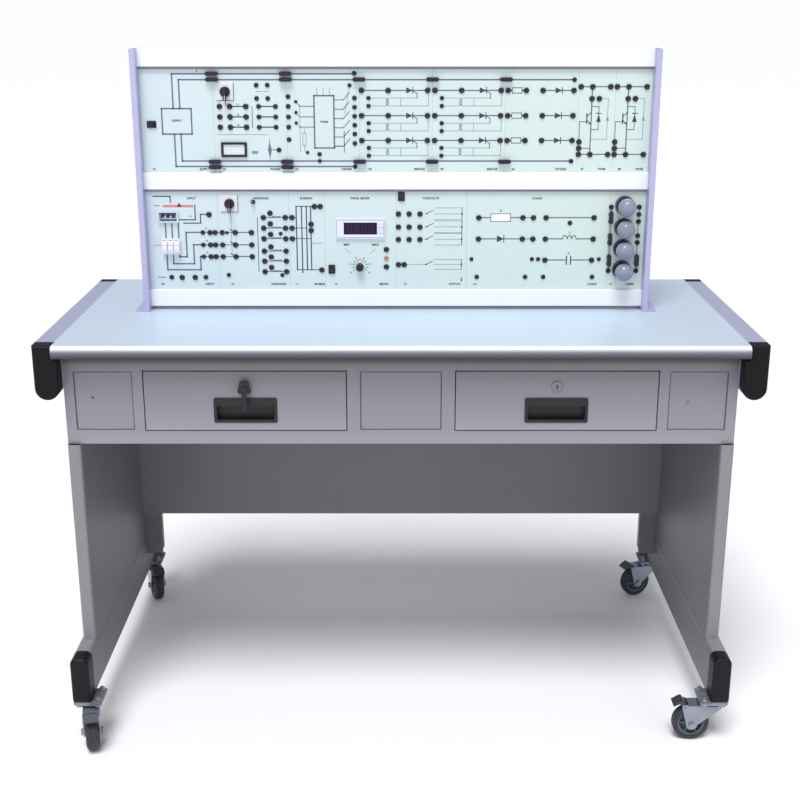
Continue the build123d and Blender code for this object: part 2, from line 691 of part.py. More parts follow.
def lock_case(side):
    """Lock barrel with its round escutcheon and the bore for the plug."""
    centre = (side * drawer_x, lock_z)
    with BuildPart() as case:
        with BuildSketch(facing(apron_front - RIM)):
            with Locations(centre):
                Circle(LOCK_RIM_RADIUS)
        extrude(amount=-RIM)
        chamfer(case.faces().sort_by(Axis.Y)[0].edges(), RIM / 2)
        with BuildSketch(facing(apron_front)):
            with Locations(centre):
                Circle(LOCK_BARREL_RADIUS)
        extrude(amount=-LOCK_LENGTH)
        with BuildSketch(facing(apron_front - RIM)):
            with Locations(centre):
                Circle(LOCK_PLUG_RADIUS + SHAFT_CLEARANCE)
        extrude(amount=-(LOCK_LENGTH + RIM), mode=Mode.SUBTRACT)
    hand_over(case, f"lock_case_{side_name(side)}")


def lock_plug(side):
    """Plug that the key turns, with the cam behind the lock that lies level when unlocked."""
    centre = (side * drawer_x, lock_z)
    with BuildPart() as plug:
        with BuildSketch(facing(apron_front - RIM)):
            with Locations(centre):
                Circle(LOCK_PLUG_RADIUS)
            with Locations(centre):
                Rectangle(KEYWAY_WIDTH, KEYWAY_HEIGHT, mode=Mode.SUBTRACT)
        extrude(amount=-KEYWAY_DEPTH)
        with BuildSketch(facing(apron_front - RIM + KEYWAY_DEPTH)):
            with Locations(centre):
                Circle(LOCK_PLUG_RADIUS)
        extrude(amount=-(LOCK_LENGTH + RIM + RUNNING_GAP - KEYWAY_DEPTH))
        with BuildSketch(facing(apron_front + LOCK_LENGTH + RUNNING_GAP)):
            with Locations((centre[0] + CAM_LENGTH / 2 - CAM_WIDTH / 2, lock_z)):
                SlotOverall(CAM_LENGTH, CAM_WIDTH * 2)
        extrude(amount=-RIM)
    hand_over(plug, f"lock_plug_{side_name(side)}")


def drawer_key():
    """Key in the left lock: blade in the keyway and a folding bow that lies flat to the front."""
    with BuildPart() as key:
        with BuildSketch(facing(bow_back)):
            with Locations((key_x, lock_z)):
                Rectangle(KEY_BLADE_THICKNESS, KEYWAY_HEIGHT - 2 * RUNNING_GAP)
        extrude(amount=-(KEY_STANDOFF + KEY_BLADE_LENGTH))
        with BuildSketch(facing(bow_back)) as bow:
            with BuildLine():
                low = lock_z - BOW_HEIGHT / 2 + BOW_RISE
                Polyline(
                    (key_x - BOW_WIDTH / 2, low),
                    (key_x + BOW_WIDTH / 2, low),
                    (key_x + BOW_WIDTH / 4, low + BOW_HEIGHT),
                    (key_x - BOW_WIDTH / 4, low + BOW_HEIGHT),
                    close=True,
                )
            make_face()
            fillet(bow.vertices(), BOW_THICKNESS)
        extrude(amount=BOW_THICKNESS)
        fillet(key.faces().sort_by(Axis.Y)[0].edges(), RIM / 2)
        with BuildSketch(facing(spare_front)):
            with Locations((key_x, lock_z)):
                Circle(RING_HOLE_RADIUS - 2 * RUNNING_GAP)
        extrude(amount=-(bow_back - BOW_THICKNESS - spare_front))
    hand_over(key, "drawer_key")


def spare_key():
    """Second key, hung on the stud in the middle of the first key's bow."""
    with BuildPart() as spare:
        with BuildSketch(facing(spare_front)) as outline:
            middle = lock_z + SPARE_KEY_WIDTH / 2 - SPARE_KEY_LENGTH / 2
            with Locations((key_x, middle)):
                RectangleRounded(SPARE_KEY_WIDTH, SPARE_KEY_LENGTH, SPARE_KEY_WIDTH / 2 - RUNNING_GAP)
            with Locations((key_x, lock_z)):
                Circle(RING_HOLE_RADIUS - 2 * RUNNING_GAP + SHAFT_CLEARANCE, mode=Mode.SUBTRACT)
        extrude(amount=-SPARE_KEY_THICKNESS)
    hand_over(spare, "spare_key")


def castor_planes(corner):
    """Floor plane and side plane of a castor, both with x along its trail."""
    side, end, yaw = CASTORS[corner]
    angle = math.radians(yaw)
    trail = (-side * math.sin(angle), -math.cos(angle), 0)
    origin = (side * swivel_x, desk_y + end * swivel_y, 0)
    floor = Plane(origin=origin, x_dir=trail, z_dir=(0, 0, 1))
    upright = Plane(origin=origin, x_dir=trail, z_dir=(trail[1], -trail[0], 0))
    return floor, upright


def castor_top_plates():
    """Four bolted top plates, each with its bearing cup, king pin and four bolts."""
    bolt_top = pad_top + FOOT_WALL + BOLT_HEX_HEIGHT
    with BuildPart() as plates:
        for side, end, _ in CASTORS.values():
            centre = (side * swivel_x, desk_y + end * swivel_y)
            with BuildSketch(Plane.XY.offset(plate_bottom)):
                with Locations(centre):
                    RectangleRounded(PAD_LENGTH, PAD_DEPTH, CAP_EDGE_RADIUS)
                with Locations(*castor_bolt_points(side, end)):
                    Circle(BOLT_RADIUS + RUNNING_GAP, mode=Mode.SUBTRACT)
            extrude(amount=TOP_PLATE_THICKNESS)
            with BuildSketch(Plane.XY.offset(plate_bottom)):
                with Locations(centre):
                    Circle(CUP_RADIUS)
            extrude(amount=-(plate_bottom - cup_bottom), taper=CUP_TAPER)
            pin_foot = hood_top - HOOD_SHEET - RUNNING_GAP
            with BuildSketch(Plane.XY.offset(pin_foot)):
                with Locations(centre):
                    Circle(KING_PIN_RADIUS)
            extrude(amount=cup_bottom - pin_foot)
            with BuildSketch(Plane.XY.offset(pin_foot)):
                with Locations(centre):
                    Circle(KING_PIN_RADIUS + RIM)
            extrude(amount=-HOOD_SHEET)
    with BuildPart() as bolts:
        for side, end, _ in CASTORS.values():
            for x, y in castor_bolt_points(side, end):
                nut_bottom = pad_top + (FOOT_WALL if abs(x) > swivel_x else 0)
                with BuildSketch(Plane.XY.offset(plate_bottom)):
                    with Locations((x, y)):
                        RegularPolygon(BOLT_HEX_RADIUS, 6)
                extrude(amount=-BOLT_HEX_HEIGHT)
                with BuildSketch(Plane.XY.offset(plate_bottom)):
                    with Locations((x, y)):
                        Circle(BOLT_RADIUS)
                extrude(amount=bolt_top + RIM - plate_bottom)
                with BuildSketch(Plane.XY.offset(nut_bottom)):
                    with Locations((x, y)):
                        RegularPolygon(BOLT_HEX_RADIUS, 6)
                extrude(amount=BOLT_HEX_HEIGHT)
    with BuildPart() as tops:
        add(plates.part)
        add(bolts.part)
    hand_over(tops, "castor_top_plates")


def castor_fork(corner):
    """Pressed fork: top web with its race, two cheeks, and the axle bolt through them."""
    floor, upright = castor_planes(corner)
    rear = -RACE_RADIUS - RIM
    hood_end = PEDAL_PIN_REACH - HOOD_SETBACK
    axle = (CASTOR_TRAIL, WHEEL_RADIUS)
    boss = 3 * AXLE_RADIUS
    with BuildPart() as fork:
        with BuildSketch(floor.offset(hood_top - HOOD_SHEET)):
            with Locations(((rear + hood_end) / 2, 0)):
                Rectangle(hood_end - rear, 2 * (FORK_INNER + FORK_SHEET))
            Circle(RACE_RADIUS + 2 * RIM)
        extrude(amount=HOOD_SHEET)
        with BuildSketch(floor.offset(hood_top)):
            Circle(RACE_RADIUS)
        extrude(amount=cup_bottom - hood_top - RUNNING_GAP)
        for start in (FORK_INNER, -FORK_INNER - FORK_SHEET):
            with BuildSketch(upright.offset(start)):
                Polygon(
                    (rear, hood_top - 2 * HOOD_SHEET),
                    (axle[0] - boss, axle[1]),
                    (axle[0] + boss, axle[1]),
                    (PEDAL_PIN_REACH + EAR_REACH, pedal_pin_z - EAR_DROP),
                    (PEDAL_PIN_REACH + EAR_REACH, pedal_pin_z + EAR_HEIGHT),
                    (PEDAL_PIN_REACH - EAR_REACH, pedal_pin_z + EAR_HEIGHT),
                    (hood_end, hood_top - HOOD_SHEET / 2),
                    (rear, hood_top - HOOD_SHEET / 2),
                    align=None,
                )
                with Locations(axle):
                    Circle(boss)
                with Locations(axle):
                    Circle(AXLE_RADIUS + SHAFT_CLEARANCE, mode=Mode.SUBTRACT)
                with Locations((PEDAL_PIN_REACH, pedal_pin_z)):
                    Circle(PEDAL_PIN_RADIUS + SHAFT_CLEARANCE, mode=Mode.SUBTRACT)
            extrude(amount=FORK_SHEET)
        with BuildSketch(floor.offset(hood_top - HOOD_SHEET)):
            Circle(KING_PIN_RADIUS + SHAFT_CLEARANCE)
        extrude(amount=cup_bottom - hood_top + HOOD_SHEET, mode=Mode.SUBTRACT)
    outer = FORK_INNER + FORK_SHEET
    with BuildPart() as bolt:
        with BuildSketch(upright.offset(-outer)):
            with Locations(axle):
                Circle(AXLE_RADIUS)
        extrude(amount=2 * outer)
        for start, direction in ((outer, 1), (-outer, -1)):
            with BuildSketch(upright.offset(start)):
                with Locations(axle):
                    RegularPolygon(BOLT_HEX_RADIUS, 6)
            extrude(amount=direction * BOLT_HEX_HEIGHT)
    with BuildPart() as assembly:
        add(fork.part)
        add(bolt.part)
    hand_over(assembly, f"castor_fork_{corner}")


def castor_wheel(corner):
    """Wheel: a spoked plastic hub with the tyre moulded round it."""
    floor, upright = castor_planes(corner)
    centre = upright.from_local_coords((CASTOR_TRAIL, WHEEL_RADIUS, 0))
    spin = Axis(centre, upright.z_dir)
    boss_half = FORK_INNER - RUNNING_GAP
    rim_half = WHEEL_WIDTH / 2 - RIM
    axle_bore = AXLE_RADIUS + SHAFT_CLEARANCE
    with BuildPart() as hub:
        with BuildSketch(floor.offset(WHEEL_RADIUS)):
            with Locations((CASTOR_TRAIL, 0)):
                Polygon(
                    (axle_bore, -boss_half),
                    (2 * AXLE_RADIUS + RIM, -boss_half),
                    (2 * AXLE_RADIUS + 2 * RIM, -RIM),
                    (TYRE_INNER_RADIUS - 3 * RIM, -RIM),
                    (TYRE_INNER_RADIUS - 2 * RIM, -rim_half),
                    (TYRE_INNER_RADIUS, -rim_half),
                    (TYRE_INNER_RADIUS, rim_half),
                    (TYRE_INNER_RADIUS - 2 * RIM, rim_half),
                    (TYRE_INNER_RADIUS - 3 * RIM, RIM),
                    (2 * AXLE_RADIUS + 2 * RIM, RIM),
                    (2 * AXLE_RADIUS + RIM, boss_half),
                    (axle_bore, boss_half),
                    align=None,
                )
        revolve(axis=spin)
    with BuildPart() as tyre:
        with BuildSketch(floor.offset(WHEEL_RADIUS)) as section:
            with Locations((CASTOR_TRAIL + (TYRE_INNER_RADIUS + WHEEL_RADIUS) / 2, 0)):
                Rectangle(WHEEL_RADIUS - TYRE_INNER_RADIUS, WHEEL_WIDTH)
            fillet(section.vertices().group_by(Axis.X)[-1], TYRE_SHOULDER)
        revolve(axis=spin)
    with BuildPart() as wheel:
        add(hub.part)
        add(tyre.part)
    hand_over(wheel, f"castor_wheel_{corner}")


def castor_pedal(corner):
    """Brake pedal on a pin through the fork's cheeks, with a roof-shaped tread."""
    _, upright = castor_planes(corner)
    pin = (PEDAL_PIN_REACH, pedal_pin_z)
    with BuildPart() as pedal:
        with BuildSketch(upright.offset(-pedal_half)):
            with Locations(pin):
                Polygon(*PEDAL_OUTLINE, align=None)
        extrude(amount=2 * pedal_half)
        with BuildSketch(upright.offset(-FORK_INNER - FORK_SHEET)):
            with Locations(pin):
                Circle(PEDAL_PIN_RADIUS)
        extrude(amount=2 * (FORK_INNER + FORK_SHEET))
    hand_over(pedal, f"castor_pedal_{corner}")


def rack_upright(side):
    """Slim hollow post on a base plate that is bolted to the board."""
    centre = (RACK_CENTRE_X + side * (row_length / 2 + POST_WIDTH / 2), post_front + POST_DEPTH / 2)
    foot_width = (POST_FOOT_WIDTH + POST_WIDTH) / 2
    foot_x = centre[0] + side * (foot_width - POST_WIDTH) / 2
    foot_y = post_front - POST_FOOT_TOE + POST_FOOT_DEPTH / 2
    with BuildPart() as post:
        with BuildSketch(Plane.XY.offset(DESK_HEIGHT)):
            with Locations((foot_x, foot_y)):
                RectangleRounded(foot_width, POST_FOOT_DEPTH, POST_WALL)
        extrude(amount=POST_FOOT_THICKNESS)
        with BuildSketch(Plane.XY.offset(DESK_HEIGHT)):
            with Locations(centre):
                RectangleRounded(POST_WIDTH, POST_DEPTH, POST_WALL)
        extrude(amount=rack_top - DESK_HEIGHT)
        with BuildSketch(Plane.XY.offset(DESK_HEIGHT)):
            with Locations(centre):
                Rectangle(POST_WIDTH - 2 * POST_WALL, POST_DEPTH - 2 * POST_WALL)
        extrude(amount=rack_top - POST_WALL - DESK_HEIGHT, mode=Mode.SUBTRACT)
    hand_over(post, f"rack_upright_{side_name(side)}")


def rack_rails():
    """Three white rails: C extrusions, open to the back, between the uprights."""
    front = rack_front + POST_WALL / 2
    with BuildPart() as rails:
        for top in (lower_row_z, upper_row_z, rack_top):
            middle_z = top - RACK_RAIL_HEIGHT / 2
            with BuildSketch(Plane.YZ.offset(RACK_CENTRE_X - row_length / 2)) as profile:
                with Locations((front + RACK_RAIL_DEPTH / 2, middle_z)):
                    Rectangle(RACK_RAIL_DEPTH, RACK_RAIL_HEIGHT)
                fillet(profile.vertices().group_by(Axis.X)[0], RACK_RAIL_WALL)
                with Locations((front + RACK_RAIL_DEPTH / 2, middle_z)):
                    Rectangle(
                        RACK_RAIL_DEPTH - 2 * RACK_RAIL_WALL,
                        RACK_RAIL_HEIGHT - 2 * RACK_RAIL_WALL,
                        mode=Mode.SUBTRACT,
                    )
                with Locations((front + RACK_RAIL_DEPTH - RACK_RAIL_WALL / 2, middle_z)):
                    Rectangle(RACK_RAIL_WALL, RACK_RAIL_HEIGHT - 2 * RACK_RAIL_LIP, mode=Mode.SUBTRACT)
            extrude(amount=row_length)
    hand_over(rails, "rack_rails")


def modules():
    """Middle x, middle z and width of all 15 modules."""
    places = []
    for row, bottom in ((UPPER_ROW, upper_row_z), (LOWER_ROW, lower_row_z)):
        edge = RACK_CENTRE_X - row_length / 2
        for units in row:
            width = units * MODULE_WIDTH
            places.append((edge + width / 2, bottom + MODULE_HEIGHT / 2, width))
            edge += width
    return places


def on_row(row_z, place):
    """Point of the sketch plane for a control that is placed within its row."""
    return RACK_CENTRE_X + place[0], row_z + place[1]


def module_plates():
    """Front plates with the cut-outs of switches, meters, breaker, lamps and knob shafts."""
    shaft_hole = KNOB_SHAFT_RADIUS + SHAFT_CLEARANCE
    with BuildPart() as plates:
        with BuildSketch(facing(plate_front)):
            for x, z, width in modules():
                with Locations((x, z)):
                    Rectangle(width - MODULE_GAP, MODULE_HEIGHT - MODULE_GAP)
            shafts = (
                on_row(upper_row_z, UPPER_SELECTOR),
                on_row(lower_row_z, LOWER_SELECTOR),
                on_row(lower_row_z, POTENTIOMETER),
            )
            with Locations(*shafts):
                Circle(shaft_hole, mode=Mode.SUBTRACT)
            with Locations(on_row(upper_row_z, UPPER_ROCKER)):
                Rectangle(rocker_bay_long, rocker_bay_short, mode=Mode.SUBTRACT)
            with Locations(on_row(lower_row_z, LOWER_ROCKER_A), on_row(lower_row_z, LOWER_ROCKER_B)):
                Rectangle(rocker_bay_short, rocker_bay_long, mode=Mode.SUBTRACT)
            with Locations(on_row(lower_row_z, BREAKER)):
                Rectangle(breaker_bay_width, breaker_bay_height, mode=Mode.SUBTRACT)
            with Locations(on_row(lower_row_z, TOGGLE)):
                Circle(TOGGLE_BUSH_BORE, mode=Mode.SUBTRACT)
        extrude(amount=-PLATE_THICKNESS)
    hand_over(plates, "module_plates")


def module_cases():
    """Plastic cases behind the plates, open to the front, with vent slots in their backs."""
    back = plate_front + PLATE_THICKNESS
    height = MODULE_HEIGHT - 2 * CASE_END_GAP
    with BuildPart() as cases:
        with BuildSketch(facing(back)):
            for x, z, width in modules():
                with Locations((x, z)):
                    RectangleRounded(width - 2 * CASE_SIDE_GAP, height, CASE_WALL)
        extrude(amount=-CASE_DEPTH)
        with BuildSketch(facing(back)):
            for x, z, width in modules():
                with Locations((x, z)):
                    Rectangle(width - 2 * CASE_SIDE_GAP - 2 * CASE_WALL, height - 2 * CASE_WALL)
        extrude(amount=-(CASE_DEPTH - CASE_WALL), mode=Mode.SUBTRACT)
        with BuildSketch(facing(back + CASE_DEPTH - CASE_WALL)):
            for x, z, width in modules():
                length = min(VENT_LENGTH, width - 4 * CASE_END_GAP)
                with Locations((x, z + height / 4)):
                    with GridLocations(length, VENT_PITCH, 1, VENT_COUNT):
                        Rectangle(length, VENT_HEIGHT)
        extrude(amount=-CASE_WALL, mode=Mode.SUBTRACT)
    hand_over(cases, "module_cases")


def rocker_frame(place, upright):
    """Rocker switch housing: a bezel with a body behind it, closed at the back."""
    along, across = (ROCKER_SHORT, ROCKER_LONG) if upright else (ROCKER_LONG, ROCKER_SHORT)
    rim = 2 * ROCKER_RIM
    play = ROCKER_BAY_MARGIN - 2 * RUNNING_GAP
    pin_plane = Plane.YZ if upright else Plane.XY
    with BuildPart() as frame:
        with BuildSketch(facing(plate_front - ROCKER_PROUD)):
            with Locations(place):
                RectangleRounded(along, across, ROCKER_RIM)
        extrude(amount=-ROCKER_PROUD)
        with BuildSketch(facing(plate_front)):
            with Locations(place):
                Rectangle(along - rim + play, across - rim + play)
        extrude(amount=-ROCKER_BODY_DEPTH)
        with BuildSketch(facing(plate_front - ROCKER_PROUD)):
            with Locations(place):
                Rectangle(along - rim, across - rim)
        extrude(amount=-(ROCKER_PROUD + ROCKER_BODY_DEPTH - ROCKER_RIM), mode=Mode.SUBTRACT)
        level = place[0] if upright else place[1]
        point = (plate_front, place[1]) if upright else (place[0], plate_front)
        with BuildSketch(pin_plane.offset(level)):
            with Locations(point):
                Circle(ROCKER_PIN_RADIUS + SHAFT_CLEARANCE)
        extrude(amount=max(along, across), both=True, mode=Mode.SUBTRACT)
    return frame.part


def rocker(place, upright, label):
    """Rocker on its cross pin, with one end pressed in at rest."""
    half_long = ROCKER_LONG / 2 - ROCKER_RIM - ROCKER_END_PLAY
    half_short = ROCKER_SHORT / 2 - ROCKER_RIM - ROCKER_SIDE_PLAY
    level = place[0] if upright else place[1]
    point = (plate_front, place[1]) if upright else (place[0], plate_front)
    plane = Plane.YZ if upright else Plane.XY
    turn = (90 if upright else 0) - ROCKER_TILT
    rise = -1 if not upright else 1
    with BuildPart() as paddle:
        with BuildSketch(plane.offset(level)):
            with Locations(Location((point[0], point[1], 0), (0, 0, turn))):
                Polygon(
                    (-half_long, -ROCKER_ROOT * rise),
                    (half_long, -ROCKER_ROOT * rise),
                    (half_long, ROCKER_HORN * rise),
                    (0, ROCKER_DIP * rise),
                    (-half_long, ROCKER_HORN * rise),
                    align=None,
                )
        extrude(amount=half_short, both=True)
        with BuildSketch(plane.offset(level)):
            with Locations(point):
                Circle(ROCKER_PIN_RADIUS)
        extrude(amount=rocker_bay_short / 2 - RUNNING_GAP, both=True)
    hand_over(paddle, label)


def selector_plates():
    """Square white scale plates under the selector knobs, with a bevelled edge."""
    with BuildPart() as plates:
        for place in (on_row(upper_row_z, UPPER_SELECTOR), on_row(lower_row_z, LOWER_SELECTOR)):
            with BuildSketch(facing(plate_front)):
                with Locations(place):
                    RectangleRounded(SELECTOR_PLATE, SELECTOR_PLATE, RIM)
                    Circle(KNOB_SHAFT_RADIUS + SHAFT_CLEARANCE, mode=Mode.SUBTRACT)
            extrude(amount=SELECTOR_PLATE_THICKNESS)
        for face in plates.faces().sort_by(Axis.Y)[:2]:
            chamfer(face.outer_wire().edges(), SELECTOR_PLATE_THICKNESS / 2)
    hand_over(plates, "selector_plates")


def toggle_bush(place):
    """Nut and bush of the toggle switch."""
    with BuildPart() as bush:
        with BuildSketch(facing(plate_front)):
            with Locations(place):
                RegularPolygon(TOGGLE_NUT_RADIUS, 6)
        extrude(amount=TOGGLE_NUT_HEIGHT)
        with BuildSketch(facing(plate_front)):
            with Locations(place):
                Circle(TOGGLE_BUSH_RADIUS)
        extrude(amount=TOGGLE_BUSH_HEIGHT)
        with BuildSketch(facing(plate_front)):
            with Locations(place):
                Circle(TOGGLE_BUSH_BORE)
        extrude(amount=TOGGLE_BUSH_HEIGHT, mode=Mode.SUBTRACT)
    return bush.part


def switch_frames():
    """Fixed parts of the small switches: rocker housings and the toggle's bush."""
    with BuildPart() as frames:
        add(rocker_frame(on_row(upper_row_z, UPPER_ROCKER), False))
        add(rocker_frame(on_row(lower_row_z, LOWER_ROCKER_A), True))
        add(rocker_frame(on_row(lower_row_z, LOWER_ROCKER_B), True))
        add(toggle_bush(on_row(lower_row_z, TOGGLE)))
    hand_over(frames, "switch_frames")


def selector_knob(place, label):
    """Selector knob: round skirt, raised pointer and shaft."""
    back = plate_front - SELECTOR_PLATE_THICKNESS - RUNNING_GAP
    x, z = place
    with BuildPart() as knob:
        with BuildSketch(facing(back)):
            with Locations(place):
                Circle(SELECTOR_RADIUS)
        extrude(amount=SELECTOR_BASE_HEIGHT)
        with BuildSketch(facing(back - SELECTOR_BASE_HEIGHT)):
            with Locations((x, z - POINTER_LENGTH / 2 + SELECTOR_RADIUS / 2)):
                SlotOverall(POINTER_LENGTH + SELECTOR_RADIUS, POINTER_WIDTH, rotation=90)
        extrude(amount=POINTER_HEIGHT)
        with BuildSketch(facing(back)):
            with Locations(place):
                Circle(KNOB_SHAFT_RADIUS)
        extrude(amount=-(SHAFT_TAIL + PLATE_THICKNESS))
    hand_over(knob, label)


def potentiometer_knob():
    """Round setting knob with a raised pointer line."""
    place = on_row(lower_row_z, POTENTIOMETER)
    back = plate_front - RUNNING_GAP
    with BuildPart() as knob:
        with BuildSketch(facing(back)):
            with Locations(place):
                Circle(POTENTIOMETER_RADIUS)
        extrude(amount=POTENTIOMETER_HEIGHT, taper=POTENTIOMETER_TAPER)
        fillet(knob.faces().sort_by(Axis.Y)[0].edges(), RIM / 2)
        with BuildSketch(facing(back - POTENTIOMETER_HEIGHT)):
            with Locations((place[0], place[1] + POTENTIOMETER_RADIUS / 3)):
                Rectangle(RIM, POTENTIOMETER_RADIUS / 2)
        extrude(amount=RIM / 4)
        with BuildSketch(facing(back)):
            with Locations(place):
                Circle(KNOB_SHAFT_RADIUS)
        extrude(amount=-(SHAFT_TAIL + PLATE_THICKNESS))
    hand_over(knob, "potentiometer_knob")


def breaker_body():
    """Breaker housing: surround with a slot for the joined handles."""
    x, z = on_row(lower_row_z, BREAKER)
    with BuildPart() as body:
        with BuildSketch(facing(plate_front - BREAKER_PROUD)):
            with Locations((x, z)):
                RectangleRounded(BREAKER_WIDTH, BREAKER_HEIGHT, RIM)
        extrude(amount=-BREAKER_PROUD)
        with BuildSketch(facing(plate_front)):
            with Locations((x, z)):
                Rectangle(breaker_bay_width - 2 * RUNNING_GAP, breaker_bay_height - 2 * RUNNING_GAP)
        extrude(amount=-BREAKER_BODY_DEPTH)
        with BuildSketch(facing(plate_front - BREAKER_PROUD)):
            with Locations((x, z)):
                Rectangle(BREAKER_SLOT_WIDTH, BREAKER_SLOT_HEIGHT)
        extrude(amount=-(BREAKER_PROUD + BREAKER_BODY_DEPTH - RIM), mode=Mode.SUBTRACT)
        with BuildSketch(Plane.YZ.offset(x)):
            with Locations((plate_front + BREAKER_PIVOT_DEPTH, z)):
                Circle(BREAKER_PIN_RADIUS + SHAFT_CLEARANCE)
        extrude(amount=(BREAKER_SLOT_WIDTH + BREAKER_SLOT_MARGIN) / 2, both=True, mode=Mode.SUBTRACT)
    hand_over(body, "breaker_body")


def breaker_handle():
    """Three joined handles on one hub, thrown up at rest."""
    tie_rise = (BREAKER_TIP_RISE - BREAKER_TIP_DROP) / 2
    x, z = on_row(lower_row_z, BREAKER)
    pivot = (plate_front + BREAKER_PIVOT_DEPTH, z)
    with BuildPart() as handle:
        with BuildSketch(Plane.YZ.offset(x)):
            with Locations(pivot):
                Circle(BREAKER_HUB_RADIUS)
        extrude(amount=BREAKER_SLOT_WIDTH / 2 - RUNNING_GAP, both=True)
        for pole in range(BREAKER_POLES):
            pole_x = x + (pole - (BREAKER_POLES - 1) / 2) * BREAKER_POLE_PITCH
            with BuildSketch(Plane.YZ.offset(pole_x)):
                with Locations(Location((pivot[0], pivot[1], 0), (0, 0, -BREAKER_TILT))):
                    Polygon(
                        (0, -BREAKER_ROOT),
                        (0, BREAKER_ROOT),
                        (-BREAKER_REACH, BREAKER_TIP_RISE),
                        (-BREAKER_REACH, -BREAKER_TIP_DROP),
                        align=None,
                    )
            extrude(amount=BREAKER_PADDLE_WIDTH / 2, both=True)
        with BuildSketch(Plane.YZ.offset(x)):
            with Locations(Location((pivot[0], pivot[1], 0), (0, 0, -BREAKER_TILT))):
                with Locations((BREAKER_TIE / 2 - BREAKER_REACH, tie_rise)):
                    Rectangle(BREAKER_TIE, BREAKER_TIE)
        extrude(amount=BREAKER_POLE_PITCH * (BREAKER_POLES - 1) / 2, both=True)
        with BuildSketch(Plane.YZ.offset(x)):
            with Locations(pivot):
                Circle(BREAKER_PIN_RADIUS)
        extrude(amount=(BREAKER_SLOT_WIDTH + BREAKER_SLOT_MARGIN) / 2 - RUNNING_GAP, both=True)
    hand_over(handle, "breaker_handle")


def toggle_lever():
    """Bat of the toggle switch, thrown up at rest."""
    x, z = on_row(lower_row_z, TOGGLE)
    pivot_y = plate_front - TOGGLE_BUSH_HEIGHT / 2
    angle = math.radians(TOGGLE_TILT)
    bat = Plane(origin=(x, pivot_y, z), z_dir=(0, -math.cos(angle), math.sin(angle)), x_dir=(1, 0, 0))
    with BuildPart() as lever:
        with Locations((x, pivot_y, z)):
            Sphere(TOGGLE_BALL_RADIUS)
        with BuildSketch(bat):
            Circle(TOGGLE_NECK_RADIUS)
        extrude(amount=TOGGLE_LENGTH, taper=-TOGGLE_FLARE)
        fillet(lever.faces().sort_by(Axis.Y)[0].edges(), TOGGLE_TIP_ROUND)
    hand_over(lever, "toggle_lever")


def fuse_block():
    """Three fuse holders side by side, each with a raised cap."""
    x, z = on_row(lower_row_z, FUSES)
    with BuildPart() as fuses:
        for index in range(FUSE_COUNT):
            fuse_x = x + (index - (FUSE_COUNT - 1) / 2) * FUSE_PITCH
            with BuildSketch(facing(plate_front)):
                with Locations((fuse_x, z)):
                    Rectangle(FUSE_WIDTH, FUSE_HEIGHT)
            extrude(amount=FUSE_PROUD / 2)
            with BuildSketch(facing(plate_front - FUSE_PROUD / 2)):
                with Locations((fuse_x, z)):
                    RectangleRounded(FUSE_WIDTH - RIM, FUSE_CAP_HEIGHT, RIM)
            extrude(amount=FUSE_PROUD / 2)
    hand_over(fuses, "fuse_block")


def meters():
    """Both meter bezels and the windows that sit in them."""
    sizes = (
        (on_row(upper_row_z, UPPER_METER), UPPER_METER_SIZE, UPPER_WINDOW_SIZE),
        (on_row(lower_row_z, LOWER_METER), LOWER_METER_SIZE, LOWER_WINDOW_SIZE),
    )
    with BuildPart() as bezels:
        for place, outer, window in sizes:
            with BuildSketch(facing(plate_front)):
                with Locations(place):
                    RectangleRounded(outer[0], outer[1], RIM)
                    Rectangle(window[0], window[1], mode=Mode.SUBTRACT)
            extrude(amount=METER_PROUD)
    hand_over(bezels, "meter_bezels")
    with BuildPart() as windows:
        for place, _, window in sizes:
            with BuildSketch(facing(plate_front)):
                with Locations(place):
                    Rectangle(window[0] - RUNNING_GAP, window[1] - RUNNING_GAP)
            extrude(amount=WINDOW_THICKNESS)
    hand_over(windows, "meter_windows")


def lamp_points():
    """Centres of the four lamps."""
    return [on_row(lower_row_z, (LAMP_X, height)) for height in LAMP_HEIGHTS]


def lamp_holders():
    """Four round lamp holders with their sockets."""
    with BuildPart() as holders:
        with BuildSketch(facing(plate_front)):
            with Locations(*lamp_points()):
                Circle(LAMP_HOLDER_RADIUS)
        extrude(amount=LAMP_HOLDER_HEIGHT, taper=LAMP_HOLDER_TAPER)
        with BuildSketch(facing(plate_front - LAMP_HOLDER_FLOOR)):
            with Locations(*lamp_points()):
                Circle(LAMP_HOLDER_BORE)
        extrude(amount=LAMP_HOLDER_HEIGHT, mode=Mode.SUBTRACT)
    hand_over(holders, "lamp_holders")


def glass_lamps():
    """Four globe lamps: screw cap in the holder, neck and round glass."""
    cap_end = plate_front - LAMP_HOLDER_FLOOR
    centre_y = plate_front - GLOBE_STANDOFF
    with BuildPart() as lamps:
        for x, z in lamp_points():
            with Locations((x, centre_y, z)):
                Sphere(GLOBE_RADIUS)
            with BuildSketch(facing(cap_end)):
                with Locations((x, z)):
                    Circle(LAMP_NECK_RADIUS)
            extrude(amount=GLOBE_STANDOFF - LAMP_HOLDER_FLOOR - GLOBE_RADIUS / 2)
    hand_over(lamps, "lamp_bulbs")


def bridging_plug(x, z, upright):
    """U-shaped link: moulded bridge with its two plug pins."""
    turn = 90 if upright else 0
    with BuildPart() as plug:
        with BuildSketch(facing(plate_front - LINK_STANDOFF)):
            with Locations((x, z)):
                SlotOverall(LINK_LENGTH, LINK_WIDTH, rotation=turn)
        extrude(amount=LINK_THICKNESS)
        with BuildSketch(facing(plate_front)):
            with Locations(Location((x, z, 0), (0, 0, turn))):
                with Locations((-LINK_PIN_SPREAD, 0), (LINK_PIN_SPREAD, 0)):
                    Circle(LINK_PIN_RADIUS)
        extrude(amount=LINK_STANDOFF)
    return plug.part


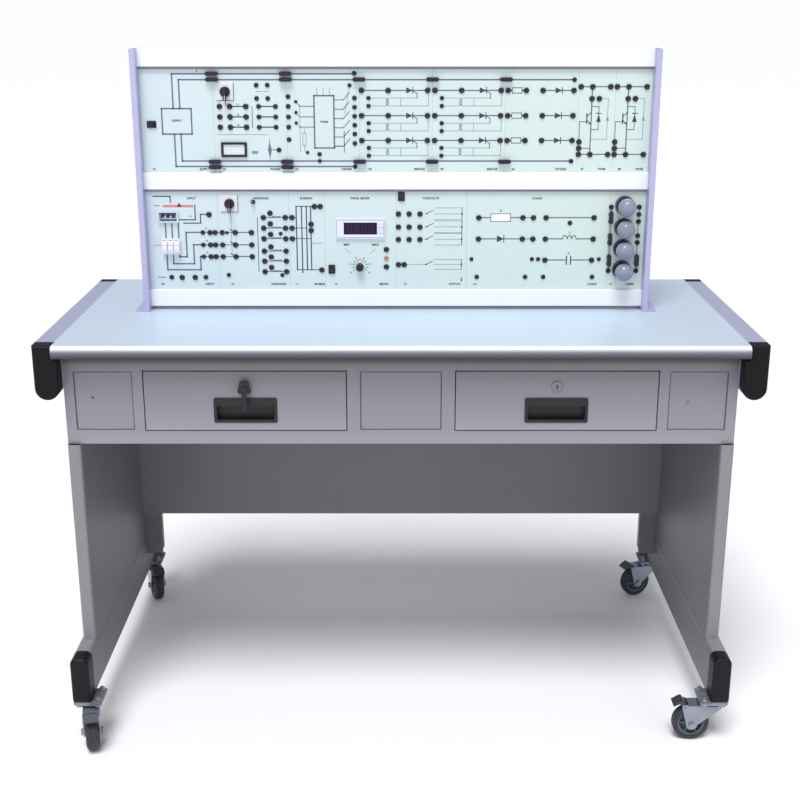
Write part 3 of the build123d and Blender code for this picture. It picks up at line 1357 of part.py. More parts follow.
def bridging_plugs():
    """Links across the module joints and beside the lamps."""
    with BuildPart() as plugs:
        for joint in range(1, 6):
            heights = INNER_BUS_HEIGHTS + (OUTER_BUS_HEIGHTS if joint < 3 else ())
            for height in heights:
                x, z = on_row(upper_row_z, (joint * MODULE_WIDTH - row_length / 2, height))
                add(bridging_plug(x, z, False))
        for offset_x, height in LAMP_LINKS:
            x, z = on_row(lower_row_z, (LAMP_X + offset_x, height))
            add(bridging_plug(x, z, True))
    hand_over(plugs, "bridging_plugs")


def cable_gland():
    """Gland for the mains cable in the back of the power module's case."""
    x, _, _ = modules()[len(UPPER_ROW)]
    back = plate_front + PLATE_THICKNESS + CASE_DEPTH
    z = lower_row_z + GLAND_HEIGHT
    with BuildPart() as gland:
        with BuildSketch(facing(back)):
            with Locations((x, z)):
                RegularPolygon(GLAND_RADIUS, 6)
        extrude(amount=-GLAND_LENGTH / 3)
        with BuildSketch(facing(back + GLAND_LENGTH / 3)):
            with Locations((x, z)):
                Circle(GLAND_RADIUS - RIM)
        extrude(amount=-GLAND_LENGTH * 2 / 3, taper=GLAND_TAPER)
        with BuildSketch(facing(back)):
            with Locations((x, z)):
                Circle(GLAND_BORE)
        extrude(amount=-GLAND_LENGTH, mode=Mode.SUBTRACT)
    hand_over(gland, "cable_gland")


def build_all():
    """Build every piece and write it to the parts folder."""
    os.makedirs("parts", exist_ok=True)
    desktop_board()
    rail_end_caps()
    foot_end_caps()
    apron()
    drawer_housing()
    modesty_panel()
    runner_channels()
    for side in (-1, 1):
        side_rail(side)
        side_frame(side)
        drawer_box(side)
        drawer_front(side)
        drawer_pull(side)
        lock_case(side)
        lock_plug(side)
        rack_upright(side)
    drawer_key()
    spare_key()
    castor_top_plates()
    for corner in CASTORS:
        castor_fork(corner)
        castor_wheel(corner)
        castor_pedal(corner)
    rack_rails()
    module_plates()
    module_cases()
    switch_frames()
    selector_plates()
    rocker(on_row(upper_row_z, UPPER_ROCKER), False, "rocker_upper")
    rocker(on_row(lower_row_z, LOWER_ROCKER_A), True, "rocker_lower_a")
    rocker(on_row(lower_row_z, LOWER_ROCKER_B), True, "rocker_lower_b")
    selector_knob(on_row(upper_row_z, UPPER_SELECTOR), "selector_knob_upper")
    selector_knob(on_row(lower_row_z, LOWER_SELECTOR), "selector_knob_lower")
    potentiometer_knob()
    breaker_body()
    breaker_handle()
    toggle_lever()
    fuse_block()
    meters()
    lamp_holders()
    glass_lamps()
    bridging_plugs()
    cable_gland()


build_all()
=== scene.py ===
"""Power electronics trainer: finishes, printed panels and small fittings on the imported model.

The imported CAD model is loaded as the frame. Metres, +Z up, the user at -Y. Each sub-assembly is a
class that builds its own meshes, dresses its CAD nodes and puts each piece on a CAD body.
"""

import logging
import math
from collections.abc import Callable, Iterable
from dataclasses import dataclass, field
from enum import Enum
from functools import partialmethod

import bmesh
import bpy
from mathutils import Matrix, Vector

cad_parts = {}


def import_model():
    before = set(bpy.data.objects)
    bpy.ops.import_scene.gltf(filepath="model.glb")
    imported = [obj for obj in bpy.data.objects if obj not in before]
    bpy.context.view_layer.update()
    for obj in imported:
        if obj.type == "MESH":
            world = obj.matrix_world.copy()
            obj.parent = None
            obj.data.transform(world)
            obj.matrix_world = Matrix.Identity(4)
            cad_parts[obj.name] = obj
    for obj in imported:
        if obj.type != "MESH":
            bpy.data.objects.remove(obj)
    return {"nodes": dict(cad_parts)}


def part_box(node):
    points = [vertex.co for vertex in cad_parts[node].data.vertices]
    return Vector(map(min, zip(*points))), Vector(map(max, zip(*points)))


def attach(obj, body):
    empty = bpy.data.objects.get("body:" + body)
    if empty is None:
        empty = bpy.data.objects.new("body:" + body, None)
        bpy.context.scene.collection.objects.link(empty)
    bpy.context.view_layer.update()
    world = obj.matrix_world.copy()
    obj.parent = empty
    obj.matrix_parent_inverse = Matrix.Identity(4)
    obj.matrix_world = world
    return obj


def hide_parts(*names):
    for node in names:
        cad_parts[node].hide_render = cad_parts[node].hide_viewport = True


MM = 0.001
ROOT_BODY = "trainer"
log = logging.getLogger("trainer")

Screen = tuple[int, int, int]
Point = tuple[float, float]
Corner = tuple[float, float, float]
MADE: dict[str, bpy.types.Material] = {}


# Finishes


class Surface(Enum):
    """What a finish lies on: (depth of its relief in metres, share of its fine specks)."""

    PAINT = (0.0004, 0.10)
    PLASTIC = (0.0003, 0.08)
    METAL = (0.0002, 0.14)
    LAMINATE = (0.00025, 0.05)
    RUBBER = (0.0008, 0.20)
    INK = (0.0001, 0.06)


def linear(screen: Screen, shade: float = 1.0) -> tuple[float, float, float, float]:
    """Linear colour, with its alpha, of an 8-bit screen colour.

    Args:
        screen: red, green and blue.
        shade: factor on the linear colour.

    Returns:
        (red, green, blue, 1).
    """
    shares = [value / 255 for value in screen]
    steps = [s / 12.92 if s <= 0.04045 else ((s + 0.055) / 1.055) ** 2.4 for s in shares]
    return (*(step * shade for step in steps), 1.0)


class Graph:
    """A node tree in the making."""

    def __init__(self, tree: bpy.types.NodeTree) -> None:
        """Work on this tree."""
        self.tree = tree

    def node(self, kind: str, values: dict | None = None, **settings: object) -> bpy.types.Node:
        """Add a node.

        Args:
            kind: the node's type.
            values: its input values by socket name or number.
            settings: its own properties, such as an operation.

        Returns:
            The new node.
        """
        made = self.tree.nodes.new(kind)
        for name, setting in settings.items():
            setattr(made, name, setting)
        self.give(made, values or {})
        return made

    @staticmethod
    def give(node: bpy.types.Node, values: dict) -> None:
        """Set a node's input values by socket name or number."""
        for socket, value in values.items():
            node.inputs[socket].default_value = value

    def mix(self, values: dict, name: str = "mix") -> bpy.types.Node:
        """Add a mix of two colours, A and B."""
        return self.node("ShaderNodeMix", values, name=name, data_type="RGBA")

    def link(self, *wires: tuple[bpy.types.Node, str, bpy.types.Node, str | int]) -> None:
        """Join outputs to inputs, each as (node, output, node, input)."""
        for source, output, target, socket in wires:
            self.tree.links.new(source.outputs[output], target.inputs[socket])

    def sockets(self, way: str, **kinds: str) -> None:
        """Add named sockets to a group's interface, in or out.

        Args:
            way: INPUT or OUTPUT.
            kinds: the kind of each socket by its name, with _ for a space.
        """
        for name, kind in kinds.items():
            title = name.replace("_", " ")
            self.tree.interface.new_socket(title, in_out=way, socket_type=f"NodeSocket{kind}")

    def shader(self) -> bpy.types.Node:
        """The material's main shader."""
        return self.tree.nodes["Principled BSDF"]

    def along(self, axis: str, values: dict, **settings: object) -> bpy.types.Node:
        """Share of the way along one of the object's axes.

        Args:
            axis: X or Z, or |X| for the distance from the middle.
            values: the range's input values.
            settings: the range's own properties.

        Returns:
            The range node, whose Result is the share.
        """
        split = self.node("ShaderNodeSeparateXYZ")
        share = self.node("ShaderNodeMapRange", values, **settings)
        self.link((self.node("ShaderNodeTexCoord"), "Object", split, "Vector"))
        if axis == "|X|":
            away = self.node("ShaderNodeMath", operation="ABSOLUTE")
            self.link((split, "X", away, 0), (away, "Value", share, "Value"))
        else:
            self.link((split, axis, share, "Value"))
        return share

    def relief(self, grain: float, cloud: float) -> bpy.types.Node:
        """Add the shared relief group with its two noise scales."""
        return self.node("ShaderNodeGroup", {"Grain": grain, "Cloud": cloud}, node_tree=relief_tree())


def relief_tree() -> bpy.types.NodeTree:
    """Shader group of fine and coarse noise that give a surface its height and its variation.

    Returns:
        The group, built on first use.
    """
    if "surface_relief" in bpy.data.node_groups:
        return bpy.data.node_groups["surface_relief"]
    fine, coarse = {"Detail": 3.0}, {"Detail": 4.0, "Roughness": 0.55}
    speck_range = {"From Min": 0.62, "From Max": 0.74}
    graph = Graph(bpy.data.node_groups.new("surface_relief", "ShaderNodeTree"))
    graph.sockets("INPUT", Vector="Vector", Grain="Float", Cloud="Float")
    graph.sockets("OUTPUT", Height="Float", Variation="Float", Specks="Float")
    inner, outer = graph.node("NodeGroupInput"), graph.node("NodeGroupOutput")
    grain, cloud = graph.node("ShaderNodeTexNoise", fine), graph.node("ShaderNodeTexNoise", coarse)
    specks = graph.node("ShaderNodeMapRange", speck_range)
    graph.link(
        (inner, "Vector", grain, "Vector"), (inner, "Grain", grain, "Scale"),
        (inner, "Vector", cloud, "Vector"), (inner, "Cloud", cloud, "Scale"),
        (grain, "Fac", outer, "Height"), (cloud, "Fac", outer, "Variation"),
        (grain, "Fac", specks, "Value"), (specks, "Result", outer, "Specks"),
    )
    return graph.tree


@dataclass(frozen=True)
class BaseFinish:
    """What all finishes share: a name and one material, made on first use."""

    name: str
    colour: Screen

    def material(self) -> bpy.types.Material:
        """The finish as a material, made once.

        Returns:
            Its node material.
        """
        if self.name not in MADE:
            MADE[self.name] = bpy.data.materials.new(self.name)
            MADE[self.name].use_nodes = True
            self.paint(Graph(MADE[self.name].node_tree))
        return MADE[self.name]

    def paint(self, graph: Graph) -> None:
        """Set the plain colour; each kind of finish adds to it."""
        graph.give(graph.shader(), {"Base Color": linear(self.colour)})


@dataclass(frozen=True)
class Finish(BaseFinish):
    """One finish of the trainer: its gloss and the relief that a close look shows.

    Grain and cloud are the scales of the fine and coarse noise, spread is how far colour and gloss
    vary with them, and stretch scales the noise along each axis.
    """

    SPECK_SHADE = 0.62
    DIM_PER_SPREAD = 1.6
    COAT_ROUGHNESS = 0.12
    surface: Surface
    roughness: float
    grain: float
    cloud: float
    relief: float
    second: Screen | None = None
    metallic: float = 0.0
    spread: float = 0.06
    coat: float = 0.0
    shine: float = 0.5
    stretch: Corner = (1.0, 1.0, 1.0)

    def paint(self, graph: Graph) -> None:
        """Colour, roughness and bump from the relief group.

        Args:
            graph: the material's tree.
        """
        depth, speck_share = self.surface.value
        shader = graph.shader()
        graph.give(shader, {"Metallic": self.metallic, "Specular IOR Level": self.shine})
        graph.give(shader, {"Coat Weight": self.coat, "Coat Roughness": self.COAT_ROUGHNESS})
        coordinates = graph.node("ShaderNodeTexCoord")
        mapping = graph.node("ShaderNodeMapping", {"Scale": self.stretch})
        relief = graph.relief(self.grain, self.cloud)
        dimmed = linear(self.colour, 1.0 - self.DIM_PER_SPREAD * self.spread)
        dim = linear(self.second) if self.second else dimmed
        tint = graph.mix({"A": linear(self.colour), "B": dim}, "tint")
        glossy, dull = max(0.02, self.roughness - self.spread), min(1.0, self.roughness + self.spread)
        gloss = graph.node("ShaderNodeMapRange", {"To Min": glossy, "To Max": dull})
        bump = graph.node("ShaderNodeBump", {"Strength": self.relief, "Distance": depth})
        share = graph.node("ShaderNodeMath", {1: speck_share}, operation="MULTIPLY")
        specked = graph.mix({"B": linear(self.colour, self.SPECK_SHADE)}, "finished colour")
        graph.link(
            (coordinates, "Object", mapping, "Vector"), (mapping, "Vector", relief, "Vector"),
            (relief, "Variation", tint, "Factor"), (relief, "Variation", gloss, "Value"),
            (relief, "Height", bump, "Height"), (relief, "Specks", share, 0),
            (share, "Value", specked, "Factor"), (tint, "Result", specked, "A"),
            (specked, "Result", shader, "Base Color"), (gloss, "Result", shader, "Roughness"),
            (bump, "Normal", shader, "Normal"),
        )


@dataclass(frozen=True, kw_only=True)
class PanelFinish(Finish):
    """Front plates: a pale film whose tint drifts along the rack from lavender to mint."""

    far_colour: Screen
    half_length: float = 0.56

    def paint(self, graph: Graph) -> None:
        """The base finish with a drift of colour along the rack.

        Args:
            graph: the material's tree.
        """
        super().paint(graph)
        along = graph.along("X", {"From Min": -self.half_length, "From Max": self.half_length})
        drift = graph.mix({"B": linear(self.far_colour)})
        graph.link(
            (along, "Result", drift, "Factor"), (graph.tree.nodes["tint"], "Result", drift, "A"),
            (drift, "Result", graph.shader(), "Base Color"),
        )


@dataclass(frozen=True, kw_only=True)
class HeightFinish(Finish):
    """A finish with painted light and shade by height, such as shadow under an edge and a highlight round a
    nose.

    Each stop is (height in metres, colour, share of that colour over the base finish).
    """

    stops: tuple[tuple[float, Screen, float], ...]

    def paint(self, graph: Graph) -> None:
        """The base finish with its bands of painted light and shade.

        Args:
            graph: the material's tree.
        """
        super().paint(graph)
        low, high = self.stops[0][0], self.stops[-1][0]
        height = graph.along("Z", {"From Min": low, "From Max": high})
        shades, shares = graph.node("ShaderNodeValToRGB"), graph.node("ShaderNodeValToRGB")
        ramps = (shades.color_ramp.elements, shares.color_ramp.elements)
        for elements in ramps:
            for index in range(2, len(self.stops)):
                elements.new(index / len(self.stops))
        for index, (level, colour, share) in enumerate(self.stops):
            for elements, value in zip(ramps, (linear(colour), (share, share, share, 1.0))):
                elements[index].position = (level - low) / (high - low)
                elements[index].color = value
        band = graph.mix({})
        graph.link(
            (height, "Result", shades, "Fac"), (height, "Result", shares, "Fac"),
            (shares, "Color", band, "Factor"), (shades, "Color", band, "B"),
            (graph.tree.nodes["finished colour"], "Result", band, "A"),
            (band, "Result", graph.shader(), "Base Color"),
        )


@dataclass(frozen=True, kw_only=True)
class SideFinish(Finish):
    """Side frame enamel with painted shade on the faces that look at each other."""

    inner_colour: Screen
    inner_plane: float = 671.5 * MM
    blend_width: float = 4.0 * MM

    def paint(self, graph: Graph) -> None:
        """The base finish with painted shade on its inside.

        Args:
            graph: the material's tree.
        """
        super().paint(graph)
        blend = {"From Min": self.inner_plane, "From Max": self.inner_plane + self.blend_width}
        outward = graph.along("|X|", blend, interpolation_type="SMOOTHSTEP")
        # Painted shade: the inner faces take the darker colour.
        sides = graph.mix({"A": linear(self.inner_colour)})
        graph.link(
            (outward, "Result", sides, "Factor"),
            (graph.tree.nodes["finished colour"], "Result", sides, "B"),
            (sides, "Result", graph.shader(), "Base Color"),
        )


@dataclass(frozen=True)
class GlassFinish(BaseFinish):
    """Blown lamp glass with a faint smoky tint, slow waves and a little dust."""

    second: Screen
    roughness: float = 0.1
    clearness: float = 0.5
    cloud: float = 55.0
    wave: float = 0.04

    def paint(self, graph: Graph) -> None:
        """A transmissive shader with a cloudy tint and a wavy surface.

        Args:
            graph: the material's tree.
        """
        shader = graph.shader()
        graph.give(shader, {"Transmission Weight": self.clearness, "IOR": 1.45})
        coordinates = graph.node("ShaderNodeTexCoord")
        relief = graph.relief(self.cloud * 12, self.cloud)
        tint = graph.mix({"A": linear(self.colour), "B": linear(self.second)})
        haze = graph.node("ShaderNodeMapRange", {"To Min": self.roughness, "To Max": self.roughness * 3})
        bump = graph.node("ShaderNodeBump", {"Strength": self.wave, "Distance": 0.001})
        graph.link(
            (coordinates, "Object", relief, "Vector"), (relief, "Variation", tint, "Factor"),
            (relief, "Specks", haze, "Value"), (relief, "Variation", bump, "Height"),
            (tint, "Result", shader, "Base Color"), (haze, "Result", shader, "Roughness"),
            (bump, "Normal", shader, "Normal"),
        )


class Palette:
    """Every finish of the trainer."""

    laminate = HeightFinish(
        "desk laminate", (197, 214, 227), Surface.LAMINATE, 0.3, 1400, 2.2, 0.03,
        second=(190, 206, 229), spread=0.05,
        # Painted highlight on the nose's upper rounding, fading into a dark grey edge that darkens further
        # towards the underside.
        stops=(
            (0.8520, (40, 40, 40), 1.0),
            (0.8560, (52, 51, 53), 1.0),
            (0.8625, (84, 82, 94), 1.0),
            (0.8680, (118, 118, 132), 1.0),
            (0.8725, (178, 182, 194), 1.0),
            (0.8765, (238, 245, 250), 1.0),
            (0.8792, (240, 247, 251), 1.0),
            (0.8798, (197, 214, 227), 0.0),
        ),
    )
    rail = Finish(
        "rail aluminium", (186, 190, 218), Surface.METAL, 0.36, 700, 9, 0.05, second=(176, 178, 208),
        metallic=0.3, stretch=(1, 0.04, 1)
    )
    cap = Finish("rail cap moulding", (14, 13, 17), Surface.PLASTIC, 0.5, 1500, 20, 0.1, shine=0.2)
    # The inner faces are darkened with painted shade.
    frame = SideFinish(
        "side frame enamel", (138, 137, 141), Surface.PAINT, 0.46, 1300, 4, 0.12, second=(128, 127, 133),
        inner_colour=(112, 112, 116)
    )
    # Painted shade: the apron's grey, darkened for the shade under the desk.
    modesty = Finish(
        "modesty panel enamel in painted shade", (124, 123, 129), Surface.PAINT, 0.45, 1300, 4, 0.12,
        second=(115, 114, 122)
    )
    foot_cap = Finish("foot cap moulding", (18, 15, 24), Surface.PLASTIC, 0.48, 1500, 12, 0.1, shine=0.25)
    apron = HeightFinish(
        "apron enamel", (141, 138, 148), Surface.PAINT, 0.42, 1300, 3, 0.12, second=(136, 133, 145),
        # Painted shadow of the board's nose across the apron's top, and painted light lightening it towards
        # its lower edge.
        stops=(
            (0.6500, (152, 150, 160), 1.0),
            (0.6900, (147, 144, 154), 0.6),
            (0.7800, (144, 141, 151), 0.0),
            (0.8260, (120, 114, 118), 0.4),
            (0.8380, (84, 76, 76), 0.9),
            (0.8520, (54, 48, 42), 1.0),
        ),
    )
    drawer_front = HeightFinish(
        "drawer front enamel", (140, 138, 147), Surface.PAINT, 0.4, 1300, 3, 0.12, second=(132, 129, 140),
        # Painted shadow under the board towards the top of each front, and painted light lightening it
        # towards the bottom.
        stops=(
            (0.6900, (152, 150, 160), 0.9),
            (0.7400, (144, 142, 152), 0.4),
            (0.7800, (138, 136, 145), 0.2),
            (0.8160, (120, 116, 124), 0.9),
        ),
    )
    # Painted shade in the recesses of the apron's blanks.
    bead = Finish("blank recess painted shade", (92, 89, 98), Surface.PAINT, 0.6, 1300, 20, 0.1)
    bead_pale = Finish("blank plug enamel", (128, 125, 135), Surface.PAINT, 0.45, 1300, 20, 0.1)
    zinc = Finish(
        "zinc sheet", (170, 172, 180), Surface.METAL, 0.4, 300, 40, 0.06, second=(140, 143, 152),
        metallic=0.8
    )
    pull = Finish("pull moulding", (22, 21, 27), Surface.PLASTIC, 0.45, 1700, 25, 0.2)
    chrome = Finish("lock nickel", (136, 134, 142), Surface.METAL, 0.38, 500, 30, 0.02, metallic=0.6)
    key_black = Finish("key bow moulding", (22, 22, 27), Surface.PLASTIC, 0.35, 1600, 40, 0.12)
    key_steel = Finish("blued key steel", (46, 46, 56), Surface.METAL, 0.4, 900, 60, 0.05, metallic=0.5)
    castor_steel = Finish(
        "castor plating", (168, 172, 184), Surface.METAL, 0.34, 500, 45, 0.06, second=(136, 140, 158),
        metallic=0.7
    )
    tyre = Finish("tyre rubber", (38, 40, 47), Surface.RUBBER, 0.6, 1800, 60, 0.35, second=(52, 56, 64))
    hub = Finish(
        "wheel hub moulding", (92, 108, 116), Surface.PLASTIC, 0.42, 1200, 60, 0.15, second=(74, 88, 96)
    )
    pedal = Finish("pedal enamel", (58, 56, 70), Surface.PAINT, 0.35, 900, 50, 0.1)
    post = Finish(
        "post anodising", (190, 189, 222), Surface.METAL, 0.34, 800, 8, 0.05, second=(182, 178, 218),
        metallic=0.2, stretch=(1, 1, 0.05)
    )
    rack_rail = Finish(
        "rack rail enamel", (244, 247, 250), Surface.PAINT, 0.3, 900, 5, 0.04, spread=0.015,
        stretch=(0.05, 1, 1)
    )
    plate = PanelFinish(
        "panel film", (203, 218, 226), Surface.PLASTIC, 0.34, 1500, 7, 0.08, second=(212, 228, 232),
        spread=0.05, far_colour=(210, 227, 220)
    )
    case = Finish("module case moulding", (182, 184, 190), Surface.PLASTIC, 0.5, 1400, 9, 0.2)
    bezel_white = Finish(
        "white bezel moulding", (232, 232, 242), Surface.PLASTIC, 0.35, 1500, 30, 0.08, spread=0.02
    )
    rim = Finish("bezel rim", (176, 166, 206), Surface.PLASTIC, 0.4, 1500, 30, 0.05)
    # Painted shadow along the selector plates' edges.
    rim_dark = Finish("selector plate painted shadow", (126, 122, 156), Surface.PLASTIC, 0.4, 1500, 30, 0.05)
    bezel_black = Finish("black bezel moulding", (26, 25, 34), Surface.PLASTIC, 0.35, 1500, 30, 0.1)
    window_dark = Finish("smoked window", (38, 20, 60), Surface.PLASTIC, 0.3, 500, 20, 0.01, shine=0.2)
    window_pale = Finish("clear window", (236, 242, 248), Surface.PLASTIC, 0.12, 500, 20, 0.01, coat=0.3)
    digit_off = Finish("resting digit", (48, 30, 60), Surface.INK, 0.4, 500, 40, 0.01)
    digit_dark = Finish("faint digit", (224, 231, 238), Surface.INK, 0.4, 500, 40, 0.01)
    fuse = Finish("fuse ceramic", (238, 240, 246), Surface.PLASTIC, 0.32, 1400, 40, 0.08, spread=0.02)
    fuse_red = Finish("fuse mark red", (206, 128, 132), Surface.INK, 0.4, 900, 40, 0.02)
    black = Finish("control moulding", (28, 20, 40), Surface.PLASTIC, 0.38, 1600, 45, 0.15)
    link_black = Finish("bridging plug moulding", (28, 21, 48), Surface.PLASTIC, 0.36, 1600, 45, 0.12)
    socket = Finish("socket moulding", (34, 24, 52), Surface.PLASTIC, 0.36, 1800, 60, 0.1)
    socket_tan = Finish("tan socket moulding", (190, 158, 118), Surface.PLASTIC, 0.38, 1800, 60, 0.1)
    sleeve = Finish("contact sleeve", (64, 60, 62), Surface.METAL, 0.35, 900, 60, 0.03, metallic=0.9)
    holder = Finish("lamp holder moulding", (28, 25, 44), Surface.PLASTIC, 0.3, 1400, 30, 0.08)
    filament = Finish("lamp filament", (120, 112, 104), Surface.METAL, 0.4, 900, 60, 0.02, metallic=1.0)
    lamp_cap = Finish("lamp cap nickel", (190, 186, 178), Surface.METAL, 0.25, 900, 60, 0.02, metallic=1.0)
    joint = Finish("plate joint", (168, 182, 198), Surface.PLASTIC, 0.6, 1200, 20, 0.05)
    surround = Finish("breaker surround", (206, 220, 236), Surface.PLASTIC, 0.4, 1500, 30, 0.08)
    ink = Finish("grey ink", (104, 112, 134), Surface.INK, 0.45, 1200, 30, 0.03)
    ink_pale = Finish("pale ink", (140, 150, 168), Surface.INK, 0.45, 1200, 30, 0.03)
    ink_dark = Finish("dark ink", (58, 56, 84), Surface.INK, 0.45, 1200, 30, 0.03)
    ink_label = Finish("caption ink", (40, 38, 62), Surface.INK, 0.45, 1200, 30, 0.03)
    ink_red = Finish("red ink", (222, 132, 140), Surface.INK, 0.45, 1200, 30, 0.03)
    label = Finish("white ink", (250, 250, 252), Surface.INK, 0.4, 1200, 30, 0.03, spread=0.01)
    # Painted shadow of the rails' lips on the plates.
    seam = Finish("rail seam", (112, 112, 128), Surface.PAINT, 0.45, 1200, 20, 0.05)
    glass = GlassFinish("lamp glass", (194, 202, 216), (172, 174, 202))
    floor = Finish("studio floor", (250, 250, 252), Surface.PAINT, 0.8, 300, 2, 0.0, spread=0.004)


# Mesh tools


def add_object(name: str, data: bpy.types.ID) -> bpy.types.Object:
    """Put new object data into the scene under a name.

    Args:
        name: the object's name.
        data: its mesh, light, camera or text.

    Returns:
        The linked object.
    """
    made = bpy.data.objects.new(name, data)
    bpy.context.scene.collection.objects.link(made)
    return made


def circle(radius: float, steps: int, height: float = 0.0) -> list[Vector]:
    """Points of a circle about the z axis."""
    turns = [math.tau * step / steps for step in range(steps)]
    return [Vector((radius * math.cos(turn), radius * math.sin(turn), height)) for turn in turns]


def box_between(rectangle: tuple[Point, Point], near: float, far: float) -> tuple[Corner, Corner]:
    """Corners of the box that a rectangle of (x, z) corners makes between two depths."""
    (x0, z0), (x1, z1) = rectangle
    return (x0, near, z0), (x1, far, z1)


class Workpiece:
    """One piece in the making: a bmesh with its finishes, in the frame's metres."""

    def __init__(self, name: str, *finishes: BaseFinish) -> None:
        """Start an empty piece.

        Args:
            name: the piece's name.
            finishes: its finishes, in the order of their material slots.
        """
        self.name = name
        self.bm = bmesh.new()
        self.finishes = finishes

    def _mark(self, before: set, layer: int, smooth: bool, outward: bool = True) -> list:
        """Give new faces their finish and shading.

        Args:
            before: the faces that were there before.
            layer: material slot.
            smooth: smooth shading.
            outward: turn their normals outwards.

        Returns:
            The new faces.
        """
        fresh = [face for face in self.bm.faces if face not in before]
        for face in fresh:
            face.material_index = layer
            face.smooth = smooth
        if outward:
            bmesh.ops.recalc_face_normals(self.bm, faces=fresh)
        return fresh

    def _skin(self, rings: list[list], capped: bool) -> None:
        """Join neighbouring rings by faces.

        Args:
            rings: each ring's vertices in the same turning direction; a ring of one is a tip.
            capped: close the first and the last ring.
        """
        count = max(len(ring) for ring in rings)
        for lower, upper in zip(rings, rings[1:]):
            for i in range(count):
                j = (i + 1) % count
                quad = ((lower, i), (lower, j), (upper, j), (upper, i))
                corners = list(dict.fromkeys(ring[place % len(ring)] for ring, place in quad))
                if len(corners) > 2:
                    self.bm.faces.new(corners)
        if capped:
            self.bm.faces.new(list(reversed(rings[0])))
            self.bm.faces.new(rings[-1])

    def polygon(self, points: list[Point], y: float, layer: int = 0) -> None:
        """Flat shape on an upright plane, looking at the user.

        Args:
            points: its corners as (x, z), in metres.
            y: depth of the plane.
            layer: material slot.
        """
        before = set(self.bm.faces)
        self.bm.faces.new([self.bm.verts.new((x, y, z)) for x, z in points])
        for face in self._mark(before, layer, False, outward=False):
            face.normal_update()
            if face.normal.y > 0:
                face.normal_flip()

    def stroke(self, points: list[Point], width: float, y: float, layer: int = 0) -> None:
        """Printed line along a path on an upright plane.

        Args:
            points: the path as (x, z), in metres.
            width: line width.
            y: depth of the plane.
            layer: material slot.
        """
        half = width / 2
        for start, end in zip(points, points[1:]):
            run = Vector(end) - Vector(start)
            if run.length > 1e-7:
                run.normalize()
                side = Vector((-run.y, run.x)) * half
                a, b = Vector(start) - run * half, Vector(end) + run * half
                self.polygon([tuple(a + side), tuple(b + side), tuple(b - side), tuple(a - side)], y, layer)

    def block(self, corners: tuple[Corner, Corner], bevel: float, layer: int = 0) -> None:
        """Box with rounded edges.

        Args:
            corners: lowest and highest corner.
            bevel: edge radius.
            layer: material slot.
        """
        before = set(self.bm.faces)
        made = bmesh.ops.create_cube(self.bm, size=1.0)["verts"]
        low, high = Vector(corners[0]), Vector(corners[1])
        for vert in made:
            vert.co = (high + low) / 2 + Vector(c * s for c, s in zip(vert.co, high - low))
        edges = list({edge for vert in made for edge in vert.link_edges})
        bmesh.ops.bevel(self.bm, geom=edges, offset=bevel, segments=2, profile=0.5, affect="EDGES")
        self._mark(before, layer, False, outward=False)

    def lathe(
        self, profile: list[Point], place: Matrix, steps: int, layer: int = 0, smooth: bool = True
    ) -> None:
        """Turned shape: a profile of (radius, height) swept about the place's z axis.

        Args:
            profile: open or closed outline; a radius of 0 closes the shape on its axis.
            place: where the shape's own axes go.
            steps: facets around.
            layer: material slot.
            smooth: smooth shading.
        """
        before = set(self.bm.faces)
        rings = []
        for radius, height in profile:
            ring = circle(radius, steps, height) if radius else [Vector((0, 0, height))]
            rings.append([self.bm.verts.new(place @ point) for point in ring])
        self._skin(rings, capped=False)
        self._mark(before, layer, smooth)

    def loft(self, sections: list[list[Vector]], bevel: float, layer: int = 0) -> None:
        """Solid through a row of sections with the same number of corners, with rounded edges.

        Args:
            sections: the corners of each section, all in the same turning direction.
            bevel: edge radius.
            layer: material slot.
        """
        before = set(self.bm.faces)
        rings = [[self.bm.verts.new(corner) for corner in section] for section in sections]
        self._skin(rings, capped=True)
        edges = list({edge for ring in rings for vert in ring for edge in vert.link_edges})
        bmesh.ops.bevel(self.bm, geom=edges, offset=bevel, segments=2, profile=0.5, affect="EDGES")
        self._mark(before, layer, False)

    def tube(self, path: list[Vector], radius: float, layer: int, steps: int) -> None:
        """Round wire along a path with closed ends.

        Args:
            path: points of its centre line.
            radius: wire radius.
            layer: material slot.
            steps: facets around.
        """
        before = set(self.bm.faces)
        rings = []
        for i, point in enumerate(path):
            ahead = path[min(i + 1, len(path) - 1)] - path[max(i - 1, 0)]
            turn = ahead.to_track_quat("Z", "Y").to_matrix()
            rings.append([self.bm.verts.new(point + turn @ spot) for spot in circle(radius, steps)])
        self._skin(rings, capped=True)
        self._mark(before, layer, True)

    def finish(self, body: str, slot: str, replaces: tuple[str, ...] = ()) -> bpy.types.Object:
        """Turn the work into an object that rides on its body.

        Args:
            body: CAD body that it moves with.
            slot: the record's material slot; not used.
            replaces: CAD nodes that it stands for.

        Returns:
            The finished object.
        """
        mesh = bpy.data.meshes.new(self.name)
        self.bm.to_mesh(mesh)
        self.bm.free()
        for finish in self.finishes:
            mesh.materials.append(finish.material())
        return put_on_body(add_object(self.name, mesh), body, replaces)


def put_on_body(
    made: bpy.types.Object, body: str, replaces: tuple[str, ...] = ()
) -> bpy.types.Object:
    """Let a piece ride on its CAD body and report it.

    Args:
        made: the piece, in place.
        body: CAD body.
        replaces: CAD nodes that it stands for.

    Returns:
        The same piece.
    """
    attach(made, body)
    if replaces:
        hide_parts(*replaces)
    log.info("%s: %d faces on %s", made.name, len(made.data.polygons), body)
    return made


